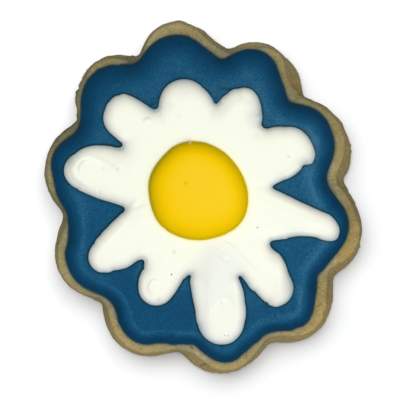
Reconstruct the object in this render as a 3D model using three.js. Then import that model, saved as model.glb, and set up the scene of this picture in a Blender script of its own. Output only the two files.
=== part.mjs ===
// Iced sugar cookie, lying flat on its back with the icing up.
//
// Four layers, each its own solid, stacked on flat faces:
//   dough_base    thick rolled dough, cut with a ten-lobed flower cutter and baked
//   blue_icing    navy flood icing that follows the lobes and stops short of the rim
//   white_daisy   ten hand-piped white petals that have run together
//   yellow_centre domed yellow button in the middle of the petals
//
// Millimetres, +Z up, the resting face on z = 0.
import * as THREE from 'three';

// ------------------------------------------------------------------ driving dimensions (mm)
const DOUGH_H = 6.4;          // rolled to a quarter of an inch
const DOUGH_WIDEST_Z = 1.3;   // the dough slumps outward a little above the tray
const DOUGH_CREASE_Z = 5.7;   // where the side wall turns over into the rim
const FOOT_INSET = 1.1;       // rounded bottom edge
const RIM_ROUND = 0.9;        // rounded top edge

const BLUE_H = 2.0;           // flood icing over the dough
const BLUE_SHOULDER = 2.2;    // run of the rounded edge
const WHITE_H = 1.8;          // petals over the flood
const WHITE_SHOULDER = 1.5;
const YELLOW_H = 2.3;         // button over the petals

const BASE_BLEND = 1.5;       // how softly neighbouring lobes of the cut dough run together
const ICING_BLEND = 2.4;
const PETAL_BLEND = 1.2;

// Dough lobes, clockwise from the top: each is a short round bar
// [x, y, radius, half length, direction in degrees].
const BASE_CORE = [0.55, 4.93, 30.51];
const BASE_LOBES = [
  [ -4.57,  33.88,  9.39, 2.42, 139.2],
  [ 14.79,  29.62,  8.61, 1.92, 136.8],
  [ 25.87,  12.18, 11.26, 1.18, 115.9],
  [ 28.54,  -7.72, 11.55, 1.32, 106.8],
  [ 21.72, -25.49, 11.11, 0.58,  75.8],
  [  4.80, -33.02, 11.81, 0.32,  29.9],
  [-13.53, -28.81, 11.74, 0.14, 114.0],
  [-26.02, -13.55, 11.63, 0.78,  79.4],
  [-28.27,   6.63, 12.09, 0.58,  85.0],
  [-22.44,  25.67,  9.67, 1.01,  63.4],
];
// The same lobes at the top edge of the dough: smaller, and a little skewed by the cutter.
const TOP_CORE = [-0.61, 3.53, 32.94];
const TOP_LOBES = [
  [ -4.13,  32.67,  8.46, 3.46, 132.3],
  [ 15.52,  31.16,  5.07, 1.27,  90.1],
  [ 25.71,  13.34,  9.83, 0.38, 133.1],
  [ 29.80,  -7.25,  9.00, 1.79, 113.3],
  [ 22.96, -24.70,  8.19, 2.43,  89.1],
  [  8.30, -31.43,  8.77, 4.68,  51.9],
  [-13.47, -26.04, 10.78, 2.97, 101.5],
  [-25.87, -13.70, 10.32, 1.27,  63.6],
  [-28.31,   6.62, 11.05, 0.54,  87.0],
  [-23.69,  26.11,  7.16, 1.78,  62.8],
];
// Flood icing lobes, same form.
const ICING_CORE = [1.56, -7.20, 30.04];
const ICING_LOBES = [
  [ -5.36,  30.59,  8.73, 1.68, 139.2],
  [ 12.93,  27.95,  6.68, 2.28, 107.2],
  [ 24.81,  13.70,  7.77, 0.98, 108.0],
  [ 28.80,  -7.80,  7.10, 0.39,  44.4],
  [ 22.01, -27.69,  5.03, 0.25,  88.2],
  [  4.98, -31.80,  4.84, 4.72, 100.2],
  [-13.74, -29.88,  5.88, 1.04,  61.3],
  [-25.20, -11.84,  8.33, 3.39,  79.4],
  [-30.90,   5.38,  6.58, 2.56, 102.8],
  [-21.47,  20.75,  9.03, 3.14,  91.8],
];
// Petals, clockwise from the top: tip bead [x, y, r], middle bead [x, y, r],
// sideways shift and radius of the root.
const PETAL_HUB = [-1.6, 1.2, 8.38];
const PETAL_ROOT = 0.4;       // the root sits this far along from the hub to the tip
const PETALS = [
  [ -4.69,  23.15,  6.04,   -4.06,  21.74,  6.64,   1.67,  7.61],
  [  9.71,  22.39,  4.68,    6.46,  15.64,  7.38,   0.00,  4.00],
  [ 21.85,  11.93,  5.23,   19.00,  10.55,  6.61,   1.54,  7.53],
  [ 29.45,  -7.06,  2.88,   19.31,  -5.21,  5.58,   2.76,  3.27],
  [ 18.12, -23.32,  4.13,   14.25, -21.36,  2.50,   3.45,  7.65],
  [  4.62, -31.50,  5.63,    4.46, -29.17,  6.23,   0.25,  5.20],
  [-11.83, -23.41,  3.67,   -7.92, -15.00,  5.62,   0.00,  4.00],
  [-24.58, -15.32,  4.00,  -21.88, -13.36,  5.27,  -0.48,  6.57],
  [-30.30,   6.27,  4.45,  -27.95,   6.38,  5.66,   4.53,  3.01],
  [-19.60,  19.89,  5.36,  -14.72,  16.21,  5.61,   3.60,  8.66],
];
// Where the piping bag paused: small beads that fill out a petal's edge [x, y, r].
const PIPED_BEADS = [
  [ 26.30,  10.02,  1.25],
  [ 31.72,  -9.03,  2.18],
  [-11.25, -21.97,  3.74],
  [ 16.73, -18.18,  3.77],
  [ 13.72,  19.58,  0.40],
  [-23.68,   6.06,  5.83],
];
// Yellow button: radius, and how far it strays from round [waves, amount, phase in degrees].
const BUTTON = { x: -1.15, y: 0.76, r: 12.35 };
const BUTTON_WAVES = [[2, 0.38, -81], [3, 0.33, -69], [4, 0.08, -123], [5, 0.06, 146], [6, 0.06, -111], [7, 0.06, 76]];

const DOUGH_SIDES = 180;      // facets round each outline
const BLUE_SIDES = 170;
const WHITE_SIDES = 300;
const YELLOW_SIDES = 64;

// ------------------------------------------------------------------ outline functions
// Every outline is a function of (x, y): below 0 inside, above 0 outside, about millimetres from the edge.

function smoothUnion(distances, blend) {
  const nearest = Math.min(...distances);
  let sum = 0;
  for (const d of distances) sum += Math.exp((nearest - d) / blend);
  return nearest - blend * Math.log(sum);
}

function disc(x, y, [cx, cy, r]) {
  return Math.hypot(x - cx, y - cy) - r;
}

function bar(x, y, [cx, cy, r, half, degrees]) {
  const t = THREE.MathUtils.degToRad(degrees);
  const ux = Math.cos(t), uy = Math.sin(t);
  const s = THREE.MathUtils.clamp((x - cx) * ux + (y - cy) * uy, -half, half);
  return Math.hypot(x - cx - s * ux, y - cy - s * uy) - r;
}

function taperedBar(x, y, [ax, ay, ar], [bx, by, br]) {
  const dx = bx - ax, dy = by - ay;
  const t = THREE.MathUtils.clamp(((x - ax) * dx + (y - ay) * dy) / (dx * dx + dy * dy + 1e-9), 0, 1);
  return Math.hypot(x - ax - t * dx, y - ay - t * dy) - (ar + t * (br - ar));
}

const lobed = (core, lobes, blend) => (x, y) =>
  smoothUnion([disc(x, y, core), ...lobes.map((lobe) => bar(x, y, lobe))], blend);

function petalled(x, y) {
  const [hx, hy] = PETAL_HUB;
  const distances = [disc(x, y, PETAL_HUB)];
  for (const [tx, ty, tr, mx, my, mr, shift, rootR] of PETALS) {
    const length = Math.hypot(tx - hx, ty - hy);
    const root = [
      hx + PETAL_ROOT * (tx - hx) - shift * (ty - hy) / length,
      hy + PETAL_ROOT * (ty - hy) + shift * (tx - hx) / length,
      rootR,
    ];
    const middle = [mx, my, mr];
    distances.push(Math.min(taperedBar(x, y, middle, [tx, ty, tr]), taperedBar(x, y, root, middle)));
  }
  for (const bead of PIPED_BEADS) distances.push(disc(x, y, bead));
  return smoothUnion(distances, PETAL_BLEND);
}

function button(x, y) {
  const angle = Math.atan2(y - BUTTON.y, x - BUTTON.x);
  let r = BUTTON.r;
  for (const [waves, amount, phase] of BUTTON_WAVES) r += amount * Math.cos(waves * angle - THREE.MathUtils.degToRad(phase));
  return Math.hypot(x - BUTTON.x, y - BUTTON.y) - r;
}

// Distance from a centre to the outline along one direction.
function reach(outline, centre, angle) {
  const c = Math.cos(angle), s = Math.sin(angle);
  const value = (r) => outline(centre[0] + r * c, centre[1] + r * s);
  let outer = 60;
  while (value(outer - 0.3) > 0 && outer > 1) outer -= 0.3;
  let inner = outer - 0.3;
  for (let i = 0; i < 24; i += 1) {
    const middle = (inner + outer) / 2;
    if (value(middle) > 0) outer = middle; else inner = middle;
  }
  return (inner + outer) / 2;
}

function slope(outline, x, y) {
  const h = 0.01;
  return [(outline(x + h, y) - outline(x - h, y)) / (2 * h), (outline(x, y + h) - outline(x, y - h)) / (2 * h)];
}

// Moves a point straight in or out until the outline function has the wanted value there.
function settle(outline, point, value, rounds = 3) {
  let [x, y] = point;
  for (let i = 0; i < rounds; i += 1) {
    const [gx, gy] = slope(outline, x, y);
    const miss = (outline(x, y) - value) / (gx * gx + gy * gy);
    x -= gx * miss;
    y -= gy * miss;
  }
  return [x, y];
}

// Walks once round the outline, anticlockwise, and returns evenly spaced points on it.
function trace(outline, centre, count) {
  const stride = 0.12;
  const start = [centre[0] + reach(outline, centre, 0), centre[1]];
  const walked = [settle(outline, start, 0)];
  for (let i = 0; i < 6000; i += 1) {
    const [x, y] = walked[walked.length - 1];
    const [gx, gy] = slope(outline, x, y);
    const length = Math.hypot(gx, gy);
    walked.push(settle(outline, [x - (gy / length) * stride, y + (gx / length) * stride], 0));
    const last = walked[walked.length - 1];
    if (i > 20 && Math.hypot(last[0] - walked[0][0], last[1] - walked[0][1]) < stride * 0.75) break;
  }
  const loop = new THREE.CatmullRomCurve3(walked.slice(0, -1).map(([x, y]) => new THREE.Vector3(x, y, 0)), true, 'chordal');
  loop.arcLengthDivisions = walked.length * 2;
  return loop.getSpacedPoints(count).slice(0, count).map((p) => settle(outline, [p.x, p.y], 0));
}

const inward = (outline, points, inset) => {
  const steps = Math.max(1, Math.ceil(inset / 0.3));
  let moved = points;
  for (let i = 1; i <= steps; i += 1) moved = moved.map((p) => settle(outline, p, (-inset * i) / steps, 2));
  return moved;
};

// ------------------------------------------------------------------ a layer: rings of points, bottom to top, closed by flat caps
function layer(rings) {
  const count = rings[0].points.length;
  const positions = [];
  for (const ring of rings) for (const [x, y] of ring.points) positions.push(x, y, ring.z);
  const index = [];
  for (let j = 0; j + 1 < rings.length; j += 1) {
    for (let i = 0; i < count; i += 1) {
      const a = j * count + i, b = j * count + ((i + 1) % count);
      index.push(a, b, b + count, a, b + count, a + count);
    }
  }
  const cap = (ring, first, faceUp) => {
    const contour = ring.points.map(([x, y]) => new THREE.Vector2(x, y));
    for (const [a, b, c] of THREE.ShapeUtils.triangulateShape(contour, [])) {
      const anticlockwise = THREE.ShapeUtils.area([contour[a], contour[b], contour[c]]) > 0;
      if (anticlockwise === faceUp) index.push(first + a, first + b, first + c);
      else index.push(first + a, first + c, first + b);
    }
  };
  cap(rings[0], 0, false);
  cap(rings[rings.length - 1], (rings.length - 1) * count, true);
  const geometry = new THREE.BufferGeometry();
  geometry.setAttribute('position', new THREE.Float32BufferAttribute(positions, 3));
  geometry.setIndex(index);
  geometry.computeVertexNormals();
  return geometry;
}

function dough() {
  const centre = [0, 1];
  const base = lobed(BASE_CORE, BASE_LOBES, BASE_BLEND);
  const edge = lobed(TOP_CORE, TOP_LOBES, BASE_BLEND);
  const widest = trace(base, centre, DOUGH_SIDES);
  // the top edge stays inside the base, on the same ray from the middle; drawnIn moves it further in
  const topEdge = (share, drawnIn) => widest.map(([x, y]) => {
    const angle = Math.atan2(y - centre[1], x - centre[0]);
    const far = Math.hypot(x - centre[0], y - centre[1]);
    const near = Math.min(reach(edge, centre, angle), far - 0.25);
    const r = THREE.MathUtils.lerp(far, near, share) - drawnIn;
    return [centre[0] + r * Math.cos(angle), centre[1] + r * Math.sin(angle)];
  });
  const wall = DOUGH_CREASE_Z - DOUGH_WIDEST_Z;
  return layer([
    { points: inward(base, widest, FOOT_INSET), z: 0 },
    { points: inward(base, widest, FOOT_INSET * 0.3), z: DOUGH_WIDEST_Z * 0.3 },
    { points: widest, z: DOUGH_WIDEST_Z },
    { points: topEdge(0.4, 0), z: DOUGH_WIDEST_Z + wall * 0.5 },
    { points: topEdge(1, 0), z: DOUGH_CREASE_Z },
    { points: topEdge(1, RIM_ROUND * 0.35), z: DOUGH_H - (DOUGH_H - DOUGH_CREASE_Z) * 0.3 },
    { points: topEdge(1, RIM_ROUND), z: DOUGH_H },
  ]);
}

// An icing layer: rings given as [inset from the outline, share of the layer's height].
function icing(outline, centre, count, floor, height, section) {
  const edge = trace(outline, centre, count);
  return layer(section.map(([inset, rise]) => ({
    points: inset > 0 ? inward(outline, edge, inset) : edge,
    z: floor + rise * height,
  })));
}

function flood() {
  const outline = lobed(ICING_CORE, ICING_LOBES, ICING_BLEND);
  return icing(outline, [0, 1], BLUE_SIDES, DOUGH_H, BLUE_H, [
    [0.45, 0], [0, 0.28], [BLUE_SHOULDER * 0.12, 0.56], [BLUE_SHOULDER * 0.36, 0.80], [BLUE_SHOULDER * 0.68, 0.94], [BLUE_SHOULDER, 1],
  ]);
}

function daisy() {
  return icing(petalled, PETAL_HUB, WHITE_SIDES, DOUGH_H + BLUE_H, WHITE_H, [
    [0.3, 0], [0, 0.3], [WHITE_SHOULDER * 0.16, 0.64], [WHITE_SHOULDER * 0.5, 0.9], [WHITE_SHOULDER, 1],
  ]);
}

function centreButton() {
  return icing(button, [BUTTON.x, BUTTON.y], YELLOW_SIDES, DOUGH_H + BLUE_H + WHITE_H, YELLOW_H, [
    [0.3, 0], [0, 0.24], [0.35, 0.5], [1.2, 0.72], [3.2, 0.88], [6.0, 0.97], [9.0, 1],
  ]);
}

// ------------------------------------------------------------------ the cookie
function piece(name, geometry, colour, roughness) {
  const material = new THREE.MeshStandardMaterial({ color: new THREE.Color(colour), roughness, metalness: 0 });
  material.name = name;
  const mesh = new THREE.Mesh(geometry, material);
  mesh.name = name;
  return mesh;
}

const cookie = new THREE.Group();
cookie.name = 'iced_sugar_cookie';
cookie.add(
  piece('dough_base', dough(), '#a8946a', 0.9),
  piece('blue_icing', flood(), '#174c6d', 0.42),
  piece('white_daisy', daisy(), '#f6f8ea', 0.5),
  piece('yellow_centre', centreButton(), '#f8cc19', 0.45),
);

export default cookie;
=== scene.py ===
import math

import bpy
import numpy as np
from mathutils import Matrix, Vector
from mathutils.geometry import delaunay_2d_cdt


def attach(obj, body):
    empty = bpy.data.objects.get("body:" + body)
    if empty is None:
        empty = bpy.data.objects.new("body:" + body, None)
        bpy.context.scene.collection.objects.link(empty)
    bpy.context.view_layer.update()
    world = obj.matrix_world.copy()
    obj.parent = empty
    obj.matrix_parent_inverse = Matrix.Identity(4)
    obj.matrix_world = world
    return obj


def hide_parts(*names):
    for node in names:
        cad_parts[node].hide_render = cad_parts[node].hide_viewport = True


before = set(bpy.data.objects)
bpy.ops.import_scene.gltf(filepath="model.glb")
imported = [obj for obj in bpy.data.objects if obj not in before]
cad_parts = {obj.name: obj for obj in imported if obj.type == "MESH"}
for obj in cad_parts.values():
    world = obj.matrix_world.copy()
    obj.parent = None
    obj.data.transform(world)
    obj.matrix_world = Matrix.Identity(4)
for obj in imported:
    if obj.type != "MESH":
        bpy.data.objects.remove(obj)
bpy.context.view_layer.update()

# An iced sugar cookie: baked dough, navy flood icing, a piped white daisy and a yellow button.
# Shapes are worked out in millimetres, as in the CAD model, and written to the meshes in metres.
MM = 0.001

# ------------------------------------------------------------------ heights (mm), as the solids they stand for
DOUGH_TOP, DOUGH_WIDEST_Z, DOUGH_CREASE_Z = 6.4, 1.3, 5.7
FOOT_INSET, RIM_ROUND = 1.1, 0.9
BLUE_TOP, WHITE_TOP, YELLOW_TOP = 8.4, 10.2, 12.5
MIDDLE = np.array([0.0, 1.0])

# ------------------------------------------------------------------ outlines
# core disc [x, y, r]; lobes as short round bars [x, y, r, half length, direction in degrees]
BASE = ([0.55, 4.93, 30.51], [
    [-4.57, 33.88, 9.39, 2.42, 139.2], [14.79, 29.62, 8.61, 1.92, 136.8], [25.87, 12.18, 11.26, 1.18, 115.9],
    [28.54, -7.72, 11.55, 1.32, 106.8], [21.72, -25.49, 11.11, 0.58, 75.8], [4.80, -33.02, 11.81, 0.32, 29.9],
    [-13.53, -28.81, 11.74, 0.14, 114.0], [-26.02, -13.55, 11.63, 0.78, 79.4], [-28.27, 6.63, 12.09, 0.58, 85.0],
    [-22.44, 25.67, 9.67, 1.01, 63.4]], 1.5)
TOP = ([-0.61, 3.53, 32.94], [
    [-4.13, 32.67, 8.46, 3.46, 132.3], [15.52, 31.16, 5.07, 1.27, 90.1], [25.71, 13.34, 9.83, 0.38, 133.1],
    [29.80, -7.25, 9.00, 1.79, 113.3], [22.96, -24.70, 8.19, 2.43, 89.1], [8.30, -31.43, 8.77, 4.68, 51.9],
    [-13.47, -26.04, 10.78, 2.97, 101.5], [-25.87, -13.70, 10.32, 1.27, 63.6], [-28.31, 6.62, 11.05, 0.54, 87.0],
    [-23.69, 26.11, 7.16, 1.78, 62.8]], 1.5)
ICING = ([1.56, -7.20, 30.04], [
    [-5.36, 30.59, 8.73, 1.68, 139.2], [12.93, 27.95, 6.68, 2.28, 107.2], [24.81, 13.70, 7.77, 0.98, 108.0],
    [28.80, -7.80, 7.10, 0.39, 44.4], [22.01, -27.69, 5.03, 0.25, 88.2], [4.98, -31.80, 4.84, 4.72, 100.2],
    [-13.74, -29.88, 5.88, 1.04, 61.3], [-25.20, -11.84, 8.33, 3.39, 79.4], [-30.90, 5.38, 6.58, 2.56, 102.8],
    [-21.47, 20.75, 9.03, 3.14, 91.8]], 2.4)
HUB, ROOT = [-1.6, 1.2, 8.38], 0.4
# petals: tip bead, middle bead, sideways shift and radius of the root
PETALS = [
    [-4.69, 23.15, 6.04, -4.06, 21.74, 6.64, 1.67, 7.61], [9.71, 22.39, 4.68, 6.46, 15.64, 7.38, 0.0, 4.0],
    [21.85, 11.93, 5.23, 19.0, 10.55, 6.61, 1.54, 7.53], [29.45, -7.06, 2.88, 19.31, -5.21, 5.58, 2.76, 3.27],
    [18.12, -23.32, 4.13, 14.25, -21.36, 2.5, 3.45, 7.65], [4.62, -31.5, 5.63, 4.46, -29.17, 6.23, 0.25, 5.2],
    [-11.83, -23.41, 3.67, -7.92, -15.0, 5.62, 0.0, 4.0], [-24.58, -15.32, 4.0, -21.88, -13.36, 5.27, -0.48, 6.57],
    [-30.3, 6.27, 4.45, -27.95, 6.38, 5.66, 4.53, 3.01], [-19.6, 19.89, 5.36, -14.72, 16.21, 5.61, 3.6, 8.66]]
BEADS = [[26.3, 10.02, 1.25], [31.72, -9.03, 2.18], [-11.25, -21.97, 3.74], [16.73, -18.18, 3.77],
         [13.72, 19.58, 0.4], [-23.68, 6.06, 5.83]]
BUTTON = (-1.15, 0.76, 12.35)
BUTTON_WAVES = [(2, .38, -81), (3, .33, -69), (4, .08, -123), (5, .06, 146), (6, .06, -111), (7, .06, 76)]

# nicks, teeth and swellings where the cutter dragged or the icing crept: x, y, how far out, how wide (mm)
BASE_NICKS = [
    (-2.6, 44.0, -.29, 1.0), (35.3, 18.6, .24, .6), (36.1, 4.5, -.23, .6), (.3, 42.1, .22, .6), (33.3, 21.3, -.16, 1.0),
    (-27.4, -26.3, .2, .6), (-5.9, 44.9, .14, 1.2), (-8.1, -39.7, .15, 1.0), (40.3, -10.8, -.19, .6), (33.2, -21.9, .10, .5),
    (-18.1, 35.9, .23, .35), (40.2, -12.9, .36, .32), (-32.6, 25.3, .17, .6), (-32.2, 20.8, .22, .35), (-32.4, 22.5, -.17, .6),
    (-12.1, -40.6, -.1, 1.6),
    (-5.6, -40.1, -.17, 4.5), (10.3, -43.4, -.16, 4.5), (34.1, -19.7, -.20, 1.8), (26.1, -36.1, -.10, 4.5),
    (25.9, 25.9, -.22, 0.7), (-13.6, 41.6, .16, 1.1), (36.3, 5.4, -.18, 0.7), (32.6, -27.7, -.11, 1.8),
    (-32, -24.3, -.11, 1.8), (-5.9, 45.0, .10, 0.9), (40.2, -10.4, -.10, 1.8), (-32.6, 19.4, -.17, 0.4),
    (-20.4, -38.3, .14, 0.7), (-37.7, 14.8, .14, 0.7), (-40.4, 5.6, .11, 1.1), (-24.8, 35.9, .12, 0.7),
    (39.8, -5.1, .10, 1.1), (-25.7, -27.9, -.11, 0.7), (-29.9, 32.2, .09, 1.1), (37.7, 13.0, .30, .35), (37.7, 11.5, .24, .35),
    (40.2, -11.6, -.22, .45), (-31.7, 27.6, -.36, .45), (-32.3, 26.7, .36, .40), (13.7, 39.6, -.13, .8)]
TOP_NICKS = [
    (-4.5, -37.0, 1.79, 1.6), (-11.1, -39.6, -.35, 1.6), (.1, -42.1, -.34, 1.6),
    (18.3, -34.9, .36, 1.0), (30.6, -29.9, -.44, .6), (-6.0, 43.7, .36, .6), (23.5, 26.5, .43, .35), (24.0, -35.3, -.23, 1.0)]
ICING_NICKS = [
    (29.3, -20.3, -.6, 1.0), (13.4, -36.0, .53, 1.0), (-7.3, -36.8, .49, 1.0), (-2.3, -37.8, -.46, 1.0), (-11.8, -37.1, -.25, 1.0),
    (-21.5, 33.1, -.29, .6), (10.1, -39.8, -.19, 1.0), (-26.4, 31.6, .21, .6), (-21.0, -31.3, .28, .35), (23.6, -33.2, -.21, .6),
    (-34.3, -14.5, .14, 1.0), (-33.7, -6.5, .17, .6), (-33.9, -11.0, -.13, 1.0), (-33.5, -18.8, -.1, 1.6), (-17.0, 33.5, .1, 1.6),
    (28.2, -23.9, .16, .6), (-4.4, 40.2, .15, .6), (12.1, -37.4, .19, .35),
    (-33.5, 15.1, -.14, 4.5), (22.3, 23.9, -.13, 3), (-23.1, -27, -.11, 3), (-34.9, -3.4, -.07, 4.5),
    (4, 35.1, -.15, 1.8), (-18.8, 33.4, -.12, 1.8), (11, 37, .11, 3), (26.1, -31.8, .12, 1.1),
    (34.4, -1.4, -.09, 1.1), (-30.7, 25.3, -.09, 1.1), (-21, -32.1, .12, 0.4), (19.7, -34, -.09, 1.1),
    (-29, 29.4, .09, 0.7), (9.4, -40.4, -.09, 1.1)]
PETAL_NICKS = [
    (5.4, 24.4, .46, .6), (-3.5, -20.5, -.3, .6), (-19.7, 25.2, .28, .6), (31.0, -11.4, -.16, .8), (9.4, -21.0, -.17, 1.0),
    (9.0, 27.0, -.22, .6), (12.2, 26.4, .17, 1.0), (-25.9, -9.9, -.22, .6), (16.1, -26.9, -.27, .35), (27.9, -10.3, .10, 1.2),
    (-24.7, 21.5, -.16, 1.0), (-14.9, -18.3, -.26, .35), (-22.1, 24.7, .2, .6), (18.3, -27.5, .2, .6), (33.4, -10.7, .16, .6),
    (23.7, -10.3, -.14, 1.0), (30.9, -4.4, -.13, .7), (20.8, -10.6, .23, .35), (-2.5, -24.6, .11, 1.6), (-24.6, -19.3, -.17, .6),
    (22.1, -24.8, .23, 4.5), (-20.1, -3.5, -.39, 0.7), (10, -24.8, .24, 1.8), (-15.1, -16.3, -.29, 1.1),
    (18.3, 2.1, -.33, 0.7), (15.6, 17.1, -.24, 1.1), (-12.2, 21.9, -.22, 1.1), (-20.4, 13, -.22, 1.1),
    (17.2, -11.9, -.25, 0.7), (-6.2, -23.1, .09, 4.5), (25.3, 7.3, -.26, 0.4), (2.9, 23.7, -.21, 0.7),
    (18.9, -14.7, .17, 1.1), (-1, -32.3, .17, 1.1), (26.2, -10.3, -.09, 3), (27.1, 8.2, .21, 0.4),
    (14.6, -25.5, .13, 1.1), (6.9, -36.8, .12, 1.1), (-15.8, -20.9, .14, 0.7), (-22.5, -6.6, .11, 1.1),
    (-26.9, 12.5, .09, 1.8), (-27, -11.9, .13, 0.7), (-18.3, -17.5, .14, 0.7), (-20.7, 25.3, .12, 0.7),
    (-16.9, 24.7, -.10, 1.1), (25.7, 15.7, -.10, 1.1), (-9.2, 27.2, .08, 1.8), (-1.9, -28.9, -.09, 1.1),
    (-14.6, -15.7, .24, 1.1), (27.4, 8.2, .15, .7), (14.7, 17.3, .13, .7), (-11.4, 21.7, .11, 1.1), (-20.1, 13.3, .10, 1.1),
    (22.6, -22.7, .09, 1.1), (-4.6, -20.9, -.12, .7), (10.5, -31.3, .10, .7), (-33.7, 3.3, -.09, 1.1), (20.4, 17.1, .10, .7),
    (17.3, -11.2, .10, .7), (-20.8, -18.6, -.10, .7), (14.4, 23.7, -.10, .7), (20.0, 3.6, -.10, .7),
    (9.2, -20.5, -.22, .35), (-3.1, -20.1, -.28, .35), (-4.3, -20.4, .12, .45), (3.4, 22.9, -.12, .3), (2.3, 24.0, .10, .5),
    (4.6, 24.1, .08, .5), (-20.0, 12.4, -.15, .35), (17.5, 2.1, -.12, .3)]
BUTTON_NICKS = [(.7, 12.9, .1, 1.0), (-9.5, -8.3, -.15, .35), (-7.3, 11.9, .07, 1.0), (6.7, -9.2, -.11, .35)]


def smooth_union(distances, blend):
    d = np.stack(distances, -1)
    m = d.min(-1)
    return m - blend * np.log(np.exp(-(d - m[..., None]) / blend).sum(-1))


def disc(P, c):
    return np.hypot(P[:, 0] - c[0], P[:, 1] - c[1]) - c[2]


def tapered_bar(P, a, b):
    d = np.array(b[:2]) - np.array(a[:2])
    p = P - np.array(a[:2])
    t = np.clip((p @ d) / (d @ d + 1e-9), 0, 1)
    q = p - t[:, None] * d
    return np.hypot(q[:, 0], q[:, 1]) - (a[2] + t * (b[2] - a[2]))


def lobed(spec):
    core, lobes, blend = spec

    def outline(P):
        ds = [disc(P, core)]
        for cx, cy, r, half, degrees in lobes:
            u = np.array([math.cos(math.radians(degrees)), math.sin(math.radians(degrees))])
            p = P - np.array([cx, cy])
            s = np.clip(p @ u, -half, half)
            q = p - s[:, None] * u
            ds.append(np.hypot(q[:, 0], q[:, 1]) - r)
        return smooth_union(ds, blend)
    return outline


def petalled(P):
    hub = np.array(HUB[:2])
    ds = [disc(P, HUB)]
    for tx, ty, tr, mx, my, mr, shift, root_r in PETALS:
        ab = np.array([tx, ty]) - hub
        root = hub + ROOT * ab + shift * np.array([-ab[1], ab[0]]) / np.hypot(*ab)
        ds.append(np.minimum(tapered_bar(P, (mx, my, mr), (tx, ty, tr)),
                             tapered_bar(P, (root[0], root[1], root_r), (mx, my, mr))))
    ds += [disc(P, b) for b in BEADS]
    return smooth_union(ds, 1.2)


def button(P):
    dx, dy = P[:, 0] - BUTTON[0], P[:, 1] - BUTTON[1]
    a = np.arctan2(dy, dx)
    r = BUTTON[2] + sum(am * np.cos(n * a - math.radians(ph)) for n, am, ph in BUTTON_WAVES)
    return np.hypot(dx, dy) - r


def nicked(outline, nicks, grow=0.0, shift=(0.0, 0.0)):
    def shape(P):
        P = P - np.array(shift)
        value = outline(P) - grow
        for x, y, amount, width in nicks:
            value = value - amount * np.exp(-((P[:, 0] - x) ** 2 + (P[:, 1] - y) ** 2) / (2 * width * width))
        return value
    return shape


base_line = nicked(lobed(BASE), BASE_NICKS, 0.0, (0.0, 0.07))
top_line = nicked(lobed(TOP), TOP_NICKS)
icing_line = nicked(lobed(ICING), ICING_NICKS, 0.145)
petal_line = nicked(petalled, PETAL_NICKS, 0.095, (0.035, -0.01))
button_line = nicked(button, BUTTON_NICKS, 0.015)


def slope(f, P, h=0.01):
    return np.stack([f(P + [h, 0]) - f(P - [h, 0]), f(P + [0, h]) - f(P - [0, h])], 1) / (2 * h)


def settle(f, P, value=0.0, rounds=3):
    for _ in range(rounds):
        g = slope(f, P)
        P = P - g * ((f(P) - value) / np.maximum((g ** 2).sum(1), 0.05))[:, None]
    return P


def even(P, count):
    Q = np.vstack([P, P[:1]])
    d = np.r_[0, np.cumsum(np.hypot(*np.diff(Q, axis=0).T))]
    t = np.linspace(0, d[-1], count + 1)[:-1]
    return np.c_[np.interp(t, d, Q[:, 0]), np.interp(t, d, Q[:, 1])], d[-1]


# Walks the cells of a grid that the outline crosses, the inside on the left, and returns evenly spaced points on it.
SIDES = {1: "BL", 2: "RB", 4: "TR", 8: "LT", 3: "RL", 6: "TB", 12: "LR", 9: "BT", 7: "TL", 11: "RT", 13: "BR", 14: "LB"}


def trace(f, spacing, reach=48.0, cell=0.4):
    xs = np.arange(-reach, reach + cell, cell)
    n = len(xs)
    gx, gy = np.meshgrid(xs, xs, indexing="ij")
    V = f(np.c_[gx.ravel(), gy.ravel()]).reshape(n, n)
    I = V < 0
    kind = I[:-1, :-1] * 1 + I[1:, :-1] * 2 + I[1:, 1:] * 4 + I[:-1, 1:] * 8

    def edge(i, j, side):
        return {"B": ("h", i, j), "T": ("h", i, j + 1), "L": ("v", i, j), "R": ("v", i + 1, j)}[side]

    after = {}
    for i, j in np.argwhere((kind > 0) & (kind < 15)):
        k = int(kind[i, j])
        for pair in ([SIDES[1], SIDES[4]] if k == 5 else [SIDES[2], SIDES[8]] if k == 10 else [SIDES[k]]):
            after[edge(i, j, pair[0])] = edge(i, j, pair[1])

    def place(e):
        kind_, i, j = e
        a = V[i, j]
        b = V[i + 1, j] if kind_ == "h" else V[i, j + 1]
        t = a / (a - b)
        return (xs[i] + (t * cell if kind_ == "h" else 0), xs[j] + (0 if kind_ == "h" else t * cell))

    loops, left = [], set(after)
    while left:
        start = e = min(left)
        loop = []
        while e in left:
            left.discard(e)
            loop.append(place(e))
            e = after.get(e, start)
        loops.append(loop)
    P = np.array(max(loops, key=len))
    for _ in range(3):
        length = even(P, len(P))[1]
        P = settle(f, even(P, int(round(length / spacing)))[0], 0, 3)
    return P


def inset(f, P, depth):
    steps = max(1, int(math.ceil(depth / 0.25)))
    for i in range(1, steps + 1):
        P = settle(f, P, -depth * i / steps, 2)
    return P


def reach_along(f, angles, top=60.0):
    u = np.c_[np.cos(angles), np.sin(angles)]
    outer = np.full(len(angles), top)
    open_ = np.ones(len(angles), bool)
    while open_.any() and outer[open_].max() > 2:
        r = outer - 0.3
        inside = f(MIDDLE + r[:, None] * u) <= 0
        outer = np.where(open_ & ~inside, r, outer)
        open_ &= ~inside
    inner = outer - 0.3
    for _ in range(18):
        mid = (inner + outer) / 2
        out = f(MIDDLE + mid[:, None] * u) > 0
        outer = np.where(out, mid, outer)
        inner = np.where(out, inner, mid)
    return (inner + outer) / 2


# ------------------------------------------------------------------ noise
def _mix(h):
    h = h ^ (h >> np.uint32(16))
    h = h * np.uint32(0x7FEB352D)
    h = h ^ (h >> np.uint32(15))
    h = h * np.uint32(0x846CA68B)
    return h ^ (h >> np.uint32(16))


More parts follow.
